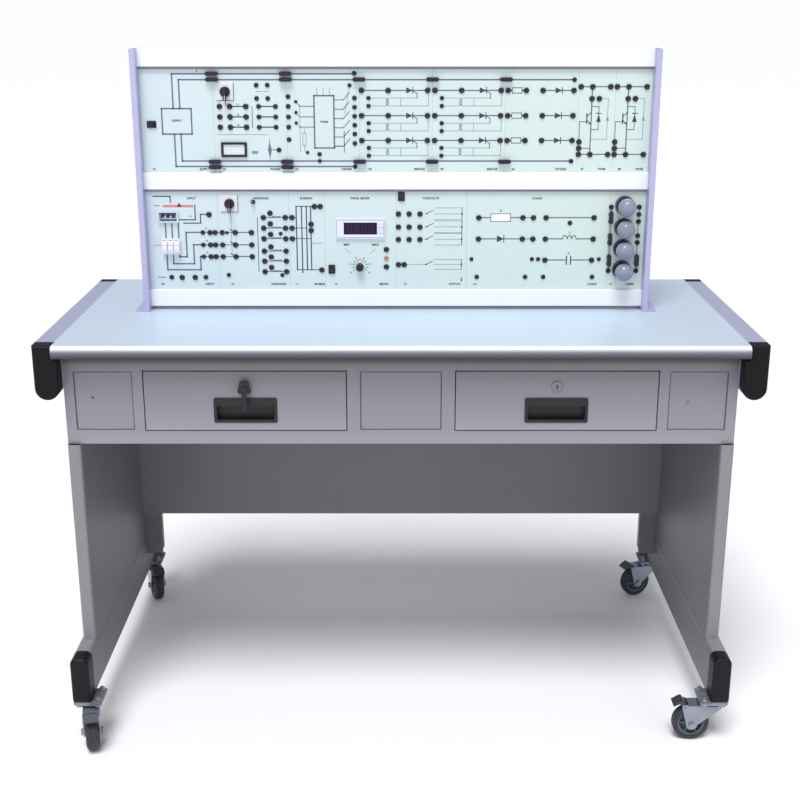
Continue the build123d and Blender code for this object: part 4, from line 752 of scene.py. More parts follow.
class SubAssembly:
    """CAD nodes that are dressed together, and the pieces that are built round them."""

    LOOKS: dict[BaseFinish, tuple[str, ...]] = {}

    def dress(self, nodes: dict[str, bpy.types.Object]) -> None:
        """Give the group's CAD nodes their finish.

        Args:
            nodes: the frame's nodes by name.
        """
        for finish, names in self.LOOKS.items():
            for name in names:
                mesh = nodes[name].data
                mesh.materials.clear()
                mesh.materials.append(finish.material())
                log.info("%s: dressed in %s", name, finish.name)

    def build(self) -> None:
        """Build the group's own pieces; a group without any leaves this as it is."""


def facing_user(x: float, y: float, z: float) -> Matrix:
    """Place of a turned shape on the front of a panel: its own z axis points at the user."""
    return Matrix.Translation((x, y, z)) @ Matrix.Rotation(math.pi / 2, 4, "X")


# Repeats


def ring_tree(finish: Finish) -> bpy.types.NodeTree:
    """Geometry Nodes tree that sets a ring with a sloped section on every point of a mesh.

    Args:
        finish: what the rings are made of.

    Returns:
        The tree; its number inputs are sizes in metres, scaled by each point's "size".
    """
    graph = Graph(bpy.data.node_groups.new(f"rings_{finish.name}", "GeometryNodeTree"))
    graph.sockets("INPUT", Geometry="Geometry", Middle_Radius="Float")
    graph.sockets("INPUT", Front_Width="Float", Back_Width="Float", Section_Height="Float")
    graph.sockets("OUTPUT", Geometry="Geometry")
    source, target = graph.node("NodeGroupInput"), graph.node("NodeGroupOutput")
    middle = graph.node("GeometryNodeCurvePrimitiveCircle", {"Resolution": 14})
    section = graph.node("GeometryNodeCurvePrimitiveQuadrilateral", {"Offset": 0.0}, mode="TRAPEZOID")
    sweep = graph.node("GeometryNodeCurveToMesh")
    shade = graph.node("GeometryNodeSetShadeSmooth")
    size = graph.node("GeometryNodeInputNamedAttribute", {"Name": "size"}, data_type="FLOAT")
    spread = graph.node("GeometryNodeInstanceOnPoints", {"Rotation": (math.pi / 2, 0, 0)})
    real = graph.node("GeometryNodeRealizeInstances")
    paint = graph.node("GeometryNodeSetMaterial", {"Material": finish.material()})
    graph.link(
        (source, "Middle Radius", middle, "Radius"), (source, "Front Width", section, "Top Width"),
        (source, "Back Width", section, "Bottom Width"), (source, "Section Height", section, "Height"),
        (middle, "Curve", sweep, "Curve"), (section, "Curve", sweep, "Profile Curve"),
        (sweep, "Mesh", shade, "Geometry"), (source, "Geometry", spread, "Points"),
        (shade, "Geometry", spread, "Instance"), (size, "Attribute", spread, "Scale"),
        (spread, "Instances", real, "Geometry"), (real, "Geometry", paint, "Geometry"),
        (paint, "Geometry", target, "Geometry"),
    )
    return graph.tree


def grow(
    name: str, points: list[tuple[float, ...]], tree: bpy.types.NodeTree, inputs: dict[str, float]
) -> bpy.types.Object:
    """Run a Geometry Nodes tree on loose points and keep the result as a plain mesh.

    Args:
        name: object name.
        points: (x, y, z, size) of each.
        tree: the tree.
        inputs: values of its named inputs.

    Returns:
        The object with the grown mesh and no modifier.
    """
    mesh = bpy.data.meshes.new(name)
    mesh.from_pydata([point[:3] for point in points], [], [])
    mesh.attributes.new("size", "FLOAT", "POINT").data.foreach_set("value", [point[3] for point in points])
    made = add_object(name, mesh)
    modifier = made.modifiers.new("grow", "NODES")
    modifier.node_group = tree
    for item in tree.interface.items_tree:
        if item.item_type == "SOCKET" and item.in_out == "INPUT" and item.name in inputs:
            modifier[item.identifier] = inputs[item.name]
    bpy.context.view_layer.update()
    grown = made.evaluated_get(bpy.context.evaluated_depsgraph_get())
    made.data = bpy.data.meshes.new_from_object(grown)
    made.modifiers.remove(modifier)
    return made


# Studio


@dataclass
class Studio:
    """Camera, light and floor."""

    lens: float = 57.3
    pitch: float = 17.4
    camera_place: Corner = (-0.002, -2.7914, 1.5466)
    floor_half: float = 3000.0
    far_end: float = 10000.0
    sky_colour: Corner = (0.96, 0.97, 1.0)
    sky_strength: float = 0.40
    backdrop_strength: float = 1.0
    sun_strength: float = 2.45
    sun_spread: float = 26.0
    sun_aim: Corner = (0.12, 0.46, -1.0)
    soft_boxes: tuple[tuple[str, Corner, Corner, float, float], ...] = (
        ("front_box", (-1.4, -3.0, 2.4), (0.0, 0.0, 1.0), 1.8, 14),
        ("right_box", (2.4, -2.2, 2.2), (0.0, 0.0, 0.9), 1.6, 8),
    )

    def build(self) -> None:
        """Make the camera, the floor and the lights."""
        scene = bpy.context.scene
        scene.view_settings.view_transform = "Standard"
        lens = bpy.data.cameras.new("camera")
        lens.lens = self.lens
        lens.sensor_width = 36.0
        lens.clip_end = self.far_end
        scene.camera = add_object("camera", lens)
        scene.camera.location = self.camera_place
        scene.camera.rotation_euler = (math.radians(90 - self.pitch), 0.0, 0.0)
        mesh = bpy.data.meshes.new("floor")
        h = self.floor_half
        mesh.from_pydata([(-h, -h, 0), (h, -h, 0), (h, h, 0), (-h, h, 0)], [], [(0, 1, 2, 3)])
        mesh.materials.append(Palette.floor.material())
        add_object("floor", mesh)
        scene.world = self._sky()
        sun = self._light("sun", "SUN", Vector(self.sun_aim), self.sun_strength)
        sun.data.angle = math.radians(self.sun_spread)
        for name, place, aim, size, power in self.soft_boxes:
            box = self._light(name, "AREA", Vector(aim) - Vector(place), power)
            box.location = place
            box.data.size = size

    def _sky(self) -> bpy.types.World:
        """Soft even sky light in front of a white backdrop.

        Returns:
            The world.
        """
        world = bpy.data.worlds.new("studio")
        world.use_nodes = True
        graph = Graph(world.node_tree)
        sky, surface = graph.tree.nodes["Background"], graph.tree.nodes["World Output"]
        graph.give(sky, {"Color": (*self.sky_colour, 1.0), "Strength": self.sky_strength})
        white = {"Color": (1.0, 1.0, 1.0, 1.0), "Strength": self.backdrop_strength}
        backdrop = graph.node("ShaderNodeBackground", white)
        path, either = graph.node("ShaderNodeLightPath"), graph.node("ShaderNodeMixShader")
        graph.link(
            (path, "Is Camera Ray", either, "Fac"), (sky, "Background", either, 1),
            (backdrop, "Background", either, 2), (either, "Shader", surface, "Surface"),
        )
        return world

    @staticmethod
    def _light(name: str, kind: str, aim: Vector, power: float) -> bpy.types.Object:
        """Light that looks along a direction.

        Args:
            name: the light's name.
            kind: SUN or AREA.
            aim: the direction.
            power: its strength.

        Returns:
            The light object.
        """
        data = bpy.data.lights.new(name, kind)
        data.energy = power
        light = add_object(name, data)
        light.rotation_euler = aim.to_track_quat("-Z", "Y").to_euler()
        return light


# Desk


@dataclass
class Desk(SubAssembly):
    """Board, rails, side frames, apron and back panel."""

    LOOKS = {
        Palette.laminate: ("desktop",),
        Palette.rail: ("side_rail_left", "side_rail_right"),
        Palette.cap: ("rail_end_caps",),
        Palette.frame: ("side_frame_left", "side_frame_right"),
        Palette.modesty: ("modesty_panel",),
        Palette.foot_cap: ("foot_end_caps",),
        Palette.apron: ("apron_frame",),
        Palette.zinc: ("drawer_housing", "drawer_runner_channels"),
    }
    blank_recess: float = 3.0 * MM
    blank_low: float = 688.0 * MM
    blank_high: float = 816.0 * MM
    blanks: tuple[tuple[float, float], ...] = ((-618 * MM, 122 * MM), (0.0, 170 * MM), (618 * MM, 122 * MM))
    # Width of the painted shade strips in the recesses.
    bead: float = 2.4 * MM
    plugs: tuple[tuple[float, float, float, int], ...] = (
        (-642 * MM, 759 * MM, 2.2 * MM, 0),
        (598 * MM, 748 * MM, 5.0 * MM, 1),
    )

    def build(self) -> None:
        """Line the recessed blanks with painted shade and fit the plugs."""
        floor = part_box("apron_frame")[0].y + self.blank_recess
        self._beads(floor)
        self._plugs(floor)

    def _beads(self, floor: float) -> None:
        """Dark strips of painted shade round the foot of each recessed blank.

        Args:
            floor: Y of the recess floor.
        """
        recess_shade = Workpiece("blank_recess_shade", Palette.bead)
        bead, z0, z1 = self.bead, self.blank_low, self.blank_high
        for x, width in self.blanks:
            x0, x1 = x - width / 2, x + width / 2
            for rectangle in (
                ((x0, z0), (x0 + bead, z1)),
                ((x1 - bead, z0), (x1, z1)),
                ((x0 + bead, z0), (x1 - bead, z0 + bead * 0.7)),
                ((x0 + bead, z1 - bead * 1.3), (x1 - bead, z1)),
            ):
                recess_shade.block(box_between(rectangle, floor - 0.3 * MM, floor + 0.1 * MM), 0.1 * MM)
        recess_shade.finish(ROOT_BODY, "apron_paint")

    def _plugs(self, floor: float) -> None:
        """Small domed plugs in the outer blanks: a dark one on the left, a painted one on the right.

        Args:
            floor: Y of the recess floor.
        """
        domes = Workpiece("blank_plugs", Palette.pull, Palette.bead_pale)
        for x, z, radius, layer in self.plugs:
            dome = [(0.0, 0.9 * MM), (radius * 0.6, 0.75 * MM), (radius * 0.9, 0.4 * MM), (radius, 0.0)]
            domes.lathe(dome, facing_user(x, floor, z), 24, layer)
        domes.finish(ROOT_BODY, "apron_paint")


class Drawers(SubAssembly):
    """Drawer fronts, pulls, locks and keys."""

    LOOKS = {
        Palette.drawer_front: ("drawer_front_left", "drawer_front_right"),
        Palette.zinc: ("drawer_box_left", "drawer_box_right"),
        Palette.pull: ("drawer_pull_left", "drawer_pull_right"),
        Palette.chrome: ("lock_case_left", "lock_case_right", "lock_plug_left", "lock_plug_right"),
        Palette.key_black: ("drawer_key",),
        Palette.key_steel: ("spare_key",),
    }


@dataclass
class Castors(SubAssembly):
    """The four castors: plated forks, spoked hubs and grooved tyres."""

    CORNERS = ("front_left", "front_right", "rear_left", "rear_right")
    LOOKS = {
        Palette.castor_steel: ("castor_top_plates", *(f"castor_fork_{corner}" for corner in CORNERS)),
        Palette.pedal: tuple(f"castor_pedal_{corner}" for corner in CORNERS),
    }
    SPOKES = 6
    spoke: tuple[Corner, Corner] = ((8 * MM, -1.6 * MM, -8.5 * MM), (25 * MM, 1.6 * MM, 8.5 * MM))
    yaws: tuple[float, ...] = (12.0, 90.0, 22.0, 68.0)
    # Halves of the turned profiles as (radius, height) in millimetres.
    tread: tuple[Point, ...] = (
        (30, -13), (33, -13), (36.5, -12), (39, -9.6), (40, -6.5), (40, -1.6), (39.4, -1.2),
    )
    bead: tuple[Point, ...] = ((29.4, 11.8),)
    rim: tuple[Point, ...] = ((29.4, -10.8), (28.2, -11), (26, -10.6), (25, -9.4), (24.2, -3))
    web: tuple[Point, ...] = ((9, -2.2), (24.6, -2.2))
    boss: tuple[Point, ...] = ((4.05, -15.2), (8.4, -15.2), (9.4, -14), (11, -3))

    def build(self) -> None:
        """Build the wheels."""
        for corner, yaw in zip(self.CORNERS, self.yaws):
            self.wheel(corner, yaw)

    @staticmethod
    def closed(half: tuple[Point, ...], back: tuple[Point, ...] = ()) -> list[Point]:
        """Closed symmetric profile: half of it, its mirror image, then the way back.

        Args:
            half: (radius, height) on one side, in millimetres.
            back: points on the way back, up to the middle.

        Returns:
            The whole outline in metres.
        """
        there = [*half, *((radius, -height) for radius, height in reversed(half))]
        home = [*back, *((radius, -height) for radius, height in reversed(back)), half[0]]
        return [(radius * MM, height * MM) for radius, height in there + home]

    def wheel(self, corner: str, yaw: float) -> None:
        """Tyre, rim, spokes and boss of one wheel, about its axle.

        Args:
            corner: which castor.
            yaw: degrees that its trail is turned out from straight ahead.
        """
        side = -1 if corner.endswith("left") else 1
        turn = math.radians(yaw)
        trail = Vector((-side * math.sin(turn), -math.cos(turn), 0.0))
        across = Vector((trail.y, -trail.x, 0.0))
        upright = trail.cross(across) * -1
        node = f"castor_wheel_{corner}"
        low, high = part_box(node)
        axes = Matrix((trail, upright, across)).transposed().to_4x4()
        place = Matrix.Translation((low + high) / 2) @ axes
        wheel = Workpiece(f"wheel_{corner}", Palette.tyre, Palette.hub)
        wheel.lathe(self.closed(self.tread, self.bead), place, 72)
        for half, steps in ((self.rim, 72), (self.web, 72), (self.boss, 48)):
            wheel.lathe(self.closed(half), place, steps, 1)
        for index in range(self.SPOKES):
            before = set(wheel.bm.verts)
            wheel.block(self.spoke, 0.8 * MM, 1)
            turned = place @ Matrix.Rotation(math.tau * index / self.SPOKES, 4, "Z")
            for vert in wheel.bm.verts:
                if vert not in before:
                    vert.co = turned @ vert.co
        wheel.finish(f"wheel_{corner}", "castor_tyre", (node,))


# Rack


class Row(Enum):
    """The two rows of modules: bottom of the row in the frame and in the drawing."""

    UPPER = ("module_plates_top", 167.5)
    LOWER = ("module_plates_bottom", 290.0)

    @property
    def baseline(self) -> float:
        """The drawing's v at the row's lower edge."""
        return self.value[1]


@dataclass
class PanelGrid:
    """Drawing grid of the panels: u runs to the right and v downwards."""

    unit_x: float = 2.194 * MM
    unit_z: float = 2.187 * MM
    middle_u: float = 396.8
    centre_x: float = -11.0 * MM
    module_height: float = 224.0 * MM
    film: float = 0.08 * MM

    def __post_init__(self) -> None:
        """Read the plates' place from the frame."""
        low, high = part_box("module_plates")
        self.front = low.y
        self.bottoms = {Row.LOWER: low.z, Row.UPPER: high.z - self.module_height}

    def at(self, row: Row, u: float, v: float) -> Point:
        """Place of a drawing point on the rack.

        Args:
            row: which row.
            u: drawing x.
            v: drawing y.

        Returns:
            (x, z) in metres.
        """
        x = self.centre_x + (u - self.middle_u) * self.unit_x
        return x, self.bottoms[row] + (row.baseline - v) * self.unit_z


class Weight(Enum):
    """Widths of the printed lines, in millimetres."""

    HAIR = 1.3
    FINE = 1.9
    WIRE = 2.6
    BUS = 3.3
    BAR = 5.5


class Ink(Enum):
    """Colours of the printed lines."""

    GREY = 0
    PALE = 1
    DARK = 2
    RED = 3
    WHITE = 4


@dataclass
class Drawing:
    """Printed circuit drawing of one row, gathered as strokes, fills, sockets and captions.

    Its places are (u, v) on the PanelGrid. A symbol is drawn about its own origin and stamped.
    """

    grid: PanelGrid
    row: Row
    strokes: list[tuple[list[Point], Weight, Ink]] = field(default_factory=list)
    fills: list[tuple[list[Point], Ink]] = field(default_factory=list)
    sockets: list[tuple[float, float, float]] = field(default_factory=list)
    tan_sockets: list[tuple[float, float, float]] = field(default_factory=list)
    labels: list[tuple[str, float, float, float]] = field(default_factory=list)
    origin: Point = (0.0, 0.0)

    def place(self, points: Iterable[Point]) -> list[Point]:
        """Drawing points, moved by the origin of the symbol that is being stamped."""
        return [(u + self.origin[0], v + self.origin[1]) for u, v in points]

    def stamp(self, symbol: Callable[[], None], *origins: Point) -> None:
        """Draw a symbol at each of these origins.

        Args:
            symbol: the method that draws it.
            origins: its places as (u, v).
        """
        for self.origin in origins:
            symbol()
        self.origin = (0.0, 0.0)

    def line(self, *points: Point, width: Weight = Weight.FINE, ink: Ink = Ink.GREY) -> None:
        """Add a line through drawing points."""
        self.strokes.append((self.place(points), width, ink))

    wire = partialmethod(line, width=Weight.WIRE)
    bus = partialmethod(line, width=Weight.BUS)
    hair = partialmethod(line, width=Weight.HAIR)
    faint = partialmethod(line, width=Weight.HAIR, ink=Ink.PALE)
    dark = partialmethod(line, ink=Ink.DARK)
    bold = partialmethod(line, width=Weight.WIRE, ink=Ink.DARK)

    def outline(self, low: Point, high: Point, width: Weight, ink: Ink = Ink.GREY) -> None:
        """Add a rectangle's outline."""
        (u0, v0), (u1, v1) = low, high
        self.line((u0, v0), (u1, v0), (u1, v1), (u0, v1), (u0, v0), width=width, ink=ink)

    def fill(self, *points: Point, ink: Ink = Ink.GREY) -> None:
        """Add a filled shape."""
        self.fills.append((self.place(points), ink))

    def socket(self, u: float, v: float, size: float = 1.0) -> None:
        """Add a plug socket; size 1 is the large kind."""
        self.sockets.append((u + self.origin[0], v + self.origin[1], size))

    def socket_row(self, us: tuple[float, ...], v: float, size: float = 1.0) -> None:
        """Add sockets at one height."""
        for u in us:
            self.socket(u, v, size)

    def socket_column(self, u: float, vs: tuple[float, ...], size: float = 1.0) -> None:
        """Add sockets above each other."""
        for v in vs:
            self.socket(u, v, size)

    def words(self, v: float, *words: tuple[str, float]) -> None:
        """Add a line of plain captions at one height."""
        for text, u in words:
            self.label(text, u, v)

    def number(self, v: float, first: int, us: tuple[float, ...]) -> None:
        """Number the modules from left to right."""
        self.words(v, *((f"{first + index:02d}", u) for index, u in enumerate(us)))

    def label(self, text: str, u: float, v: float, height: float = 3.4) -> None:
        """Add a plain caption, terminal name or scale mark; height is in millimetres."""
        self.labels.append((text, u, v, height))

    def triangle(self, u0: float, u1: float, v: float, half: float, ink: Ink = Ink.GREY) -> None:
        """Diode symbol from u0 to u1 with its bar at u1."""
        self.fill((u0, v - half), (u1, v), (u0, v + half), ink=ink)
        self.line((u1, v - half), (u1, v + half), ink=ink)

    def thyristor(self) -> None:
        """One thyristor branch with its sockets, gate transformer and gate leads."""
        self.socket_row((0, 26.2, 65), 0)
        self.wire((0, 0), (65, 0))
        self.triangle(44, 50.5, 0, 3, Ink.DARK)
        self.line((51, 0.5), (54.7, 3), (54.7, 7.6))
        for v in (7.3, 14.9):
            self.socket(6.9, v, 0.78)
            self.faint((8.5, v), (23.5, v))
            self.faint((27.5, v), (38.6, v))
        for top in (7.3, 9.83, 12.36):
            for u, bulge in ((24.2, 1.1), (26.8, -1.1)):
                self.hair((u, top), (u + bulge, top + 1.26), (u, top + 2.53))
        self.faint((38.6, 7.3), (38.6, 14.9))
        self.faint((38.6, 7.3), (54.7, 7.3))
        self.faint((38.6, 14.9), (65.8, 14.9), (65.8, 1.5))

    def transistor(self) -> None:
        """One transistor module with its freewheel diode and sockets."""
        top, low = 83.9, 149.7
        self.wire((0, top), (29.1, top))
        self.wire((0, low), (29.1, low))
        for u in (0, 11.4, 29.1):
            self.socket_column(u, (top, low))
        self.socket_row((11.2, 18.3), 95.4)
        self.socket_column(0, (137.4, 143.7))
        self.wire((11.3, top), (11.3, low))
        self.line((0, 143.7), (11.3, 143.7))
        self.line((0, low), (0, 117.7), (7, 117.7))
        self.bold((7, 110), (7, 119.5))
        self.dark((7.4, 112.5), (11.3, 108.6))
        self.dark((7.4, 116.5), (11.3, 120.6))
        self.fill((11.3, 120.6), (8.6, 119.6), (10.2, 117.9), ink=Ink.DARK)
        self.line((11.3, 103), (18.6, 103), (18.6, 125.4), (11.3, 125.4))
        self.fill((16.2, 118), (18.6, 110), (21, 118), ink=Ink.DARK)
        self.dark((16.2, 109.6), (21, 109.6))
        self.faint((18.3, 95.4), (27.4, 95.4), (27.4, 134.9), (11.3, 134.9))
        self.fill((25.8, 116.8), (27.4, 111.4), (29, 116.8), ink=Ink.PALE)


class UpperRow(Drawing):
    """Supply, selector, control and power switch modules."""

    def draw(self) -> "UpperRow":
        """Lay out the whole row.

        Returns:
            The drawing itself.
        """
        self._supply_buses()
        self._selector_module()
        self._driver_module()
        for v in (87.5, 111.8, 136):
            self.stamp(self.thyristor, (363, v), (435.2, v))
            self.stamp(self._fuse_and_diode, (0, v))
        self.stamp(self.transistor, (578.5, 0), (614, 0))
        self.number(164.4, 1, (155.5, 225.6, 298, 371, 443, 514, 583, 620))
        self.words(164.4, ("SUPPLY", 205.8), ("PHASES", 276.4), ("DRIVER", 347.8), ("BRIDGE", 420.5))
        self.words(164.4, ("BRIDGE", 493), ("DIODES", 561.5), ("PWM", 602.5), ("PWM", 640))
        return self

    def _supply_buses(self) -> None:
        """Supply block and its two pairs of bus lines."""
        self.outline((165.7, 105), (194.8, 129.8), width=Weight.BUS)
        self.bus((177.3, 105), (177.3, 71.6), (356.1, 71.6))
        self.bus((177.3, 129.8), (177.3, 161.7), (356.1, 161.7))
        self.bus((183.8, 105), (183.8, 77.2), (571.5, 77.2))
        self.bus((183.8, 129.8), (183.8, 156.3), (571.5, 156.3))
        for u, v in ((356.1, 71), (356.1, 161.8), (571.8, 77.2), (571.5, 156.4)):
            self.socket(u, v, 0.82)
        self.label("SUPPLY", 180.3, 116.8)
        self.label("+", 202, 69.2, 4)
        self.label("-", 202, 165, 4)

    def _selector_module(self) -> None:
        """Three-phase selector, its sockets, the phase display and the setting symbol."""
        for v, name in ((102.9, "L1"), (113, "L2"), (123, "L3")):
            self.socket_row((223.1, 233.1, 249), v)
            self.bold((233.1, v), (249, v))
            self.socket_row((261.6, 278.2), v, 0.86)
            self.bold((261.6, v), (278.2, v))
            self.label(name, 241, v - 2, 2.4)
        self.dark((229.1, 97.5), (229.1, 102))
        self.line((255, 103.6), (255, 123.5))
        for u in (259.9, 270.8):
            for v in (82.4, 95.2):
                self.socket(u, v, 0.84)
        self.faint((259, 88.5), (272, 88.5))
        self.faint((220, 130.3), (270, 130.3))
        self.fill((271.4, 136.5), (273.3, 145.3), (271.4, 154.2), (269.5, 145.3))
        self.hair((271.4, 134.5), (271.4, 156.3))
        self.line((273.3, 145.3), (280.6, 145.3))
        self.socket(280.6, 145.3, 0.86)
        plate = ((253, 147.6), (254, 146.3), (259, 146.3), (260, 147.6), (259, 149.4), (254, 149.4))
        self.fill(*plate, ink=Ink.PALE)

    def _driver_module(self) -> None:
        """Control block with its input and output columns."""
        self.socket_column(290.8, (93.4, 102.8, 113, 122.9, 135.1), 0.86)
        for v in (98.3, 108.7, 118.9):
            self.socket(298.3, v, 0.6)
            self.hair((298.3, v), (302, v + 4.4))
        for v in (102.8, 113, 122.9):
            self.line((302, v), (316.2, v))
        self.faint((302, 101), (302, 147))
        self.outline((304.6, 129), (307.6, 141), width=Weight.HAIR, ink=Ink.PALE)
        self.faint((306.1, 124), (306.1, 129))
        self.faint((306.1, 141), (306.1, 146.5))
        self.outline((316.2, 92.5), (335.7, 143.4), width=Weight.BUS)
        for u in (319.2, 325.4, 331.6):
            self.faint((u, 84.6), (u, 92.5))
        self.label("PWM", 325.9, 118)
        for index, v in enumerate((94.8, 103.6, 112.3, 121, 129.6, 138.8)):
            start = 96.6 + index * 9.0
            self.line((335.7, start), (345, start))
            self.line((345, start), (351, start - 7))
            self.socket(356.1, v, 0.84)
        self.line((345.6, 127), (345.6, 147.5))
        self.line((335.7, 141.6), (345.6, 141.6))
        self.faint((351.4, 82.6), (346.4, 110))
        self.socket(351.4, 82.6, 0.74)
        self.socket(308.9, 147.8, 0.62)
        self.socket(320.8, 149.5, 0.8)
        self.socket(320.8, 156.2, 0.72)

    def _fuse_and_diode(self) -> None:
        """Fuse and diode at the right end of a power branch."""
        self.socket_row((507.1, 524.9), 0)
        self.wire((507.1, 0), (511, 0))
        self.wire((521, 0), (524.9, 0))
        self.line((511.6, -2.6), (520.4, -2.6))
        self.line((511.6, 2.6), (520.4, 2.6))
        self.line((511.6, -2.6), (510.6, 0), (511.6, 2.6))
        self.line((520.4, -2.6), (521.4, 0), (520.4, 2.6))
        self.socket_row((541.3, 571.6), 0)
        self.wire((541.3, 0), (571.6, 0))
        self.triangle(553.7, 560.3, 0, 3, Ink.DARK)


class LowerRow(Drawing):
    """Power inlet, transformer, setting, measuring and load modules."""

    def draw(self) -> "LowerRow":
        """Lay out the whole row.

        Returns:
            The drawing itself.
        """
        self._inlet_module()
        self._transformer_module()
        self._setting_module()
        self._switch_module()
        self._load_module()
        self._lamp_module()
        self.number(284.8, 9, (157.6, 229, 295, 335, 406, 477.5, 617))
        self.words(284.8, ("INPUT", 205.8), ("WINDINGS", 276.4), ("BUSBAR", 318.6), ("METER", 384.5))
        self.words(284.8, ("SWITCH", 457), ("LOADS", 598), ("LAMPS", 636.5))
        self.words(196.6, ("INPUT", 191), ("WINDINGS", 261), ("BUSBARS", 306.5))
        self.words(196.6, ("PANEL METER", 360.7), ("CONTACTS", 432), ("LOADS", 539))
        return self

    def _inlet_module(self) -> None:
        """Breaker, fuses and the three phase lines with their contactor."""
        self.bold((152.5, 194.5), (169.5, 194.5), (169.5, 200.4))
        self.line((153, 204), (158, 204))
        self.line((163, 204.4), (191, 204.4), width=Weight.BAR, ink=Ink.RED)
        self.line((150.5, 244.4), (157.6, 244.4), ink=Ink.RED)
        self.fill((175.6, 205.2), (178.2, 200.8), (180.6, 205.2), ink=Ink.DARK)
        self.bold((193.9, 203.4), (193.9, 218.3), (176, 218.3))
        self.bold((182, 221.7), (199.2, 221.7), (199.2, 212.8), (208, 212.8))
        self.socket(208, 212.9)
        wires = (163.3, 169.8, 176.3)
        ends = ((269.8, 197.4, 256), (263.5, 190.9, 243.9), (256.3, 183.8, 231.2))
        for u, (low, right, v) in zip(wires, ends):
            self.bus((u, 219.5), (u, 238))
            self.bus((u, 252), (u, low), (right, low), (right, v), (200.9, v))
            self.line((200.9, v), (233.7, v))
            self.wire((233.7, v), (250.2, v))
            self.socket_row((208.2, 213.4, 220.6), v, 0.96)
            self.socket(200.9, v, 0.84)
            self.dark((228.4, v - 3.2), (233, v - 0.4))
            self.socket_row((233.7, 250.2), v)
        self.socket(225.4, 231.4, 0.62)
        self.faint((229.8, 211.5), (229.8, 254.5))
        self.socket_row((177.7, 191), 277.6)
        self.socket_row((167, 202), 277.4, 0.88)
        self.line((153.5, 277.6), (160.5, 277.6))
        self.socket(225.6, 275.1, 0.8)
        for name, u, v in (("L1", 204.5, 227), ("L2", 204.5, 239.7), ("L3", 204.5, 251.8), ("N", 189, 214.9)):
            self.label(name, u, v, 2.4)
        for index, (u, v) in enumerate(((222.9, 207.4), (222.9, 196.6), (235.3, 196.6), (235.3, 207.4))):
            self.label(str(index), u, v, 2.6)

    def _transformer_module(self) -> None:
        """Windings with their sockets, and the bar grid to the right."""
        self.line((256.6, 216.5), (256.6, 271.2))
        upper = (215.9, 226.7, 237.5)
        lower = (250.3, 260.7, 271.6)
        for v in upper + lower:
            self.socket_row((262.8, 284.9), v)
            self.socket(269.6, v - 4.4)
            self.line((262.8, v), (284.9, v))
            for step in range(4):
                u = 271.5 + 2.2 * step
                self.hair((u, v), (u + 1.1, v - 1.3), (u + 2.2, v), ink=Ink.DARK)
        for v, end in zip(upper, (296, 306.3, 310.6)):
            self.socket(291.6, v)
            self.line((284.9, v), (end, v))
        bars = ((296, 204.7, 269.8), (301.4, 204.7, 272.6), (306.3, 204.7, 269.8), (310.6, 204.7, 269.8))
        for u, top, low in bars:
            self.bold((u, top), (u, low))
        self.dark((296, 204.7), (320.4, 204.7))
        self.dark((296, 269.8), (321, 269.8))
        self.faint((310.6, 242.3), (322, 242.3))
        self.socket_row((314.6, 320.4), 204.7)
        self.socket_column(310.9, (222.7, 229.1))
        self.socket(321, 269.8)
        self.socket(279.8, 232.4, 0.72)
        self.socket(280.4, 275.2, 0.76)

    def _setting_module(self) -> None:
        """Meter leads and the potentiometer's scale."""
        centre = (360.1, 266.5)
        for index in range(11):
            angle = math.radians(210 - 24 * index)
            across, rise = math.cos(angle), math.sin(angle)
            near, far, spot = (
                (centre[0] + reach * across, centre[1] - reach * rise) for reach in (6.2, 8.2, 10.6)
            )
            self.hair(near, far, ink=Ink.DARK)
            if index % 2 == 0:
                self.label(str(index), spot[0], spot[1] + 0.8, 2.6)
        self.faint((350, 252.4), (345, 248))
        self.faint((371, 252.4), (376, 248))
        self.label("MIN", 346.6, 243.9, 3.6)
        self.label("MAX", 376, 243.9, 3.6)
        self.socket_column(387, (248.6, 266.6))
        self.tan_sockets.append((387, 257.7, 0.9))

    def _switch_module(self) -> None:
        """Three switched channels and the common pair."""
        for v in (212.3, 225.6, 238.3):
            self.socket_row((399.3, 410.1, 421.1), v)
            self._channel(v, (-6.1, -0.1, 5.9))
        self.socket_row((399.3, 405.1), 264.3)
        self._channel(264.3, (-5.1, -0.1, 5.2))
        self.faint((407, 264.3), (428, 264.3))
        self.fill((463.4, 278), (464.6, 278), (464.6, 282), (463.4, 282), ink=Ink.DARK)

    def _channel(self, v: float, steps: tuple[float, float, float]) -> None:
        """Changeover contact with its three output lines.

        Args:
            v: its height in the drawing.
            steps: where its output lines lie below that.
        """
        self.line((427, v), (434, v - 3.4))
        self.dark((427, v), (428.4, v))
        for dv in steps:
            self.faint((436, v + dv), (463.6, v + dv))
        self.line((463.6, v + steps[0]), (463.6, v + steps[2]))
        self.fill((462.8, v - 1), (464.4, v - 1), (464.4, v + 1), (462.8, v + 1), ink=Ink.DARK)

